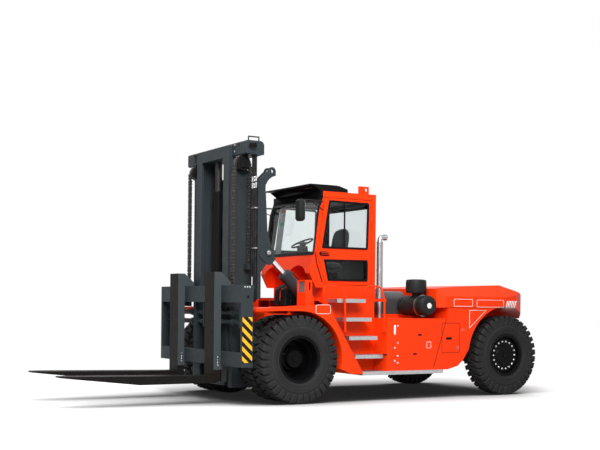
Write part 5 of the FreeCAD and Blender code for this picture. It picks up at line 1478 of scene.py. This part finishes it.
def carriage_fittings():
    """Hazard plates, bolts and lifting holes on the carriage's ends, the holes as black discs of painted
    shade, and the shift cylinders' collars.
    """
    low, high = span("carriage")
    end, front, plate_rear = high[0], low[1], low[1] + 0.19
    plate = block((end + 0.0002, front + 0.012, low[2] + 0.07),
                  (end + 0.0040, plate_rear - 0.012, low[2] + 0.75), 0.001, "X", 0.006)
    make("hazard_plates", both(plate), "carriage", "hazard")
    heads = [bolt("X", (end, front + 0.050 + 0.042 * n, high[2] - 0.030), 0.011, 0.007) for n in range(3)]
    # painted shade: a black disc stands for the dark inside of each lifting hole
    notch = slab("X", circle(0.020, (front + 0.105, high[2] - 0.178), 12), end - 0.001, end + 0.002)
    make("carriage_bolts", both(join(*heads)), "carriage", "steel")
    make("carriage_hole_shades", both(notch), "carriage", "black")
    collars = []
    for z in (1.245, 1.390):
        centre = (0, front + 0.15, z)
        collars += [collar("X", centre, x - 0.03, x + 0.03, 0.036, 0.052) for x in (0.10, 0.52, 0.94, 1.30)]
        collars.append(collar("X", centre, 1.10, 1.125, 0.036, 0.046))
    make("shift_cylinder_collars", both(join(*collars)), "carriage", "mast")


def fork_fittings():
    """Bright bolts on each fork's carrier and shank."""
    for name in ("fork_left", "fork_right"):
        low, high = span(name)
        side, rear, top = high[0], high[1], high[2]
        heads = [bolt("X", (side, rear - back, top - down), 0.011, 0.010)
                 for back, down in ((0.10, 0.26), (0.12, 0.34))]
        heads += [bolt("X", (side, rear - 0.210, low[2] + 0.27 + 0.042 * n), 0.012, 0.009) for n in range(4)]
        heads += [bolt("Z", (side - 0.03 - 0.045 * n, rear - 0.06, top - 0.145), 0.011, 0.010)
                  for n in range(4)]
        make(name + "_bolts", join(*heads), name, "steel")


EYE = 0.070


def cylinder_line(side):
    """A tilt cylinder's rear pin, front pin and the unit direction between them, from its solids' boxes."""
    barrel_low, barrel_high = span("tilt_barrel_" + side)
    rod_low, rod_high = span("tilt_rod_" + side)
    x = (rod_low[0] + rod_high[0]) / 2
    rear = np.array((x, barrel_high[1] - EYE, barrel_low[2] + EYE))
    front = np.array((x, rod_low[1] + EYE, rod_high[2] - EYE))
    return rear, front, unit(front - rear)


def tilt_cylinders():
    """Gland nut, wiper ring, tail cap, ports and a hard line on each tilt cylinder, and its front pin."""
    up = np.array((1.0, 0.0, 0.0))
    face = span("outer_mast")[1][0]
    for side in (LEFT, RIGHT):
        name = side_name(side)
        rear, front, way = cylinder_line(name)
        out = np.cross(way, up)
        ring = lambda a, b, r: tube(rear + way * np.linspace(a, b, 2)[:, None], r, up, 32)
        gland = join(ring(0.545, 0.598, 0.104), ring(0.598, 0.612, 0.078), ring(0.115, 0.150, 0.104))
        stub = tube(np.array([ORIGIN, out * 0.035]), 0.022, up, 8)
        ports = join(*(moved(stub, rear + way * a + out * 0.094) for a in (0.20, 0.50)))
        line = rounded([rear + way * a + out * b for a, b in
                        ((0.50, 0.115), (0.47, 0.125), (0.30, 0.125), (0.20, 0.125), (0.19, 0.115))], 0.02)
        make("tilt_gland_" + name, join(gland, ports), "tilt_barrel_" + name, "mast")
        make("tilt_line_" + name, tube(line, 0.009, up, 10), "tilt_barrel_" + name, "hose")
        cap = [bolt("X", (face + 0.012, front[1] + a, front[2] + b), 0.009, 0.008)
               for a, b in ((0.0, 0.024), (0.021, -0.012), (-0.021, -0.012))]
        pin = lathe([(face - 0.004, 0.034), (face + 0.011, 0.034), (face + 0.014, 0.030)],
                    (0, front[1], front[2]), "X", 28, closed=False)
        make("tilt_pin_" + name, on_side(join(pin, *cap), side), "outer_mast", "steel")


def lift_glands():
    """Gland nuts where the lift rods leave their barrels, and the saddle clamps that hold the barrels."""
    low, high = span("lift_barrels")
    axle = (high[0] - 0.082, (low[1] + high[1]) / 2, 0)
    top = high[2]
    nut = lathe([(top - 0.06, 0.078), (top - 0.06, 0.092), (top - 0.004, 0.092), (top + 0.012, 0.080),
                 (top + 0.012, 0.064)], axle, "Z", 40)
    bands = [collar("Z", axle, z, z + 0.05, 0.081, 0.090, 40) for z in (1.00, 1.80)]
    make("lift_glands", both(join(nut, *bands)), "outer_mast", "black")


# --- operators --------------------------------------------------------------------

class FORKLIFT_OT_finishes(bpy.types.Operator):
    """Gives every solid of the truck its finish"""
    bl_idname = "forklift.finishes"
    bl_label = "Finishes"

    def execute(self, context):
        named = [node for nodes in NODE_FINISHES.values() for node in nodes]
        if sorted(named) != sorted(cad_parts):
            raise RuntimeError("these solids have no finish: %s" % sorted(set(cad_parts) ^ set(named)))
        for finish, nodes in NODE_FINISHES.items():
            for node in nodes:
                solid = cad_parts[node]
                solid.data.materials.clear()
                solid.data.materials.append(FINISHES[finish]())
        return {"FINISHED"}


class FORKLIFT_OT_stage(bpy.types.Operator):
    """Sets the floor, the soft lights and the camera"""
    bl_idname = "forklift.stage"
    bl_label = "Stage"

    def execute(self, context):
        sky()
        ground()
        lights()
        camera()
        context.scene.view_settings.view_transform = "Standard"
        return {"FINISHED"}


class FORKLIFT_OT_body(bpy.types.Operator):
    """Builds the exhaust, air cleaner, grab rails, marks and bolts of the body"""
    bl_idname = "forklift.body"
    bl_label = "Body"

    def execute(self, context):
        exhaust()
        air_cleaner()
        rails()
        body_marks()
        side_seams()
        panel_bolts()
        return {"FINISHED"}


class FORKLIFT_OT_cab(bpy.types.Operator):
    """Builds the cab's gaskets, door fittings, seat, mirrors and lining"""
    bl_idname = "forklift.cab"
    bl_label = "Cab"

    def execute(self, context):
        door_fittings()
        window_fittings()
        screen_frame()
        switch_panel()
        valve_block()
        seat()
        mirror_heads()
        roof_lining()
        return {"FINISHED"}


class FORKLIFT_OT_mast(bpy.types.Operator):
    """Builds the chains, sheaves, hoses and fittings of the mast, carriage and forks"""
    bl_idname = "forklift.mast"
    bl_label = "Mast"

    def execute(self, context):
        chain_run("carriage_chains", "carriage_chain", "inner_mast")
        chain_run("anchor_chains", "anchor_chain", "outer_mast")
        sheaves()
        hose_bundle()
        crossmember_fittings()
        carriage_fittings()
        fork_fittings()
        tilt_cylinders()
        lift_glands()
        return {"FINISHED"}


class FORKLIFT_OT_wheels(bpy.types.Operator):
    """Builds the lugged tyres, rims, hubs and nuts"""
    bl_idname = "forklift.wheels"
    bl_label = "Wheels"

    def execute(self, context):
        for side in (LEFT, RIGHT):
            front_wheel(side)
            rear_wheel(side)
        return {"FINISHED"}


OPERATORS = [FORKLIFT_OT_finishes, FORKLIFT_OT_wheels, FORKLIFT_OT_mast, FORKLIFT_OT_cab, FORKLIFT_OT_body,
             FORKLIFT_OT_stage]


class FORKLIFT_PT_sidebar(bpy.types.Panel):
    """Lists the forklift's pieces and their sizes"""
    bl_idname = "FORKLIFT_PT_sidebar"
    bl_label = "Forklift"
    bl_space_type = "VIEW_3D"
    bl_region_type = "UI"
    bl_category = "Forklift"

    def draw(self, context):
        for operator in OPERATORS:
            self.layout.operator(operator.bl_idname)
        for group in GROUPS:
            settings = getattr(context.scene, group)
            for name in settings.__annotations__:
                self.layout.prop(settings, name)


GROUPS = {"forklift_paint": ForkliftPaint, "forklift_tyres": ForkliftTyres,
          "forklift_mast": ForkliftMast, "forklift_cab": ForkliftCab}


def register():
    for group in (*GROUPS.values(), *OPERATORS, FORKLIFT_PT_sidebar):
        bpy.utils.register_class(group)
    for name, group in GROUPS.items():
        setattr(bpy.types.Scene, name, bpy.props.PointerProperty(type=group))


def unregister():
    for name in GROUPS:
        delattr(bpy.types.Scene, name)
    for group in (FORKLIFT_PT_sidebar, *reversed(OPERATORS), *reversed(list(GROUPS.values()))):
        bpy.utils.unregister_class(group)


def main():
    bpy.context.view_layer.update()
    register()
    for operator in OPERATORS:
        family, call = operator.bl_idname.split(".")
        getattr(getattr(bpy.ops, family), call)()


if __name__ == "__main__":
    main()
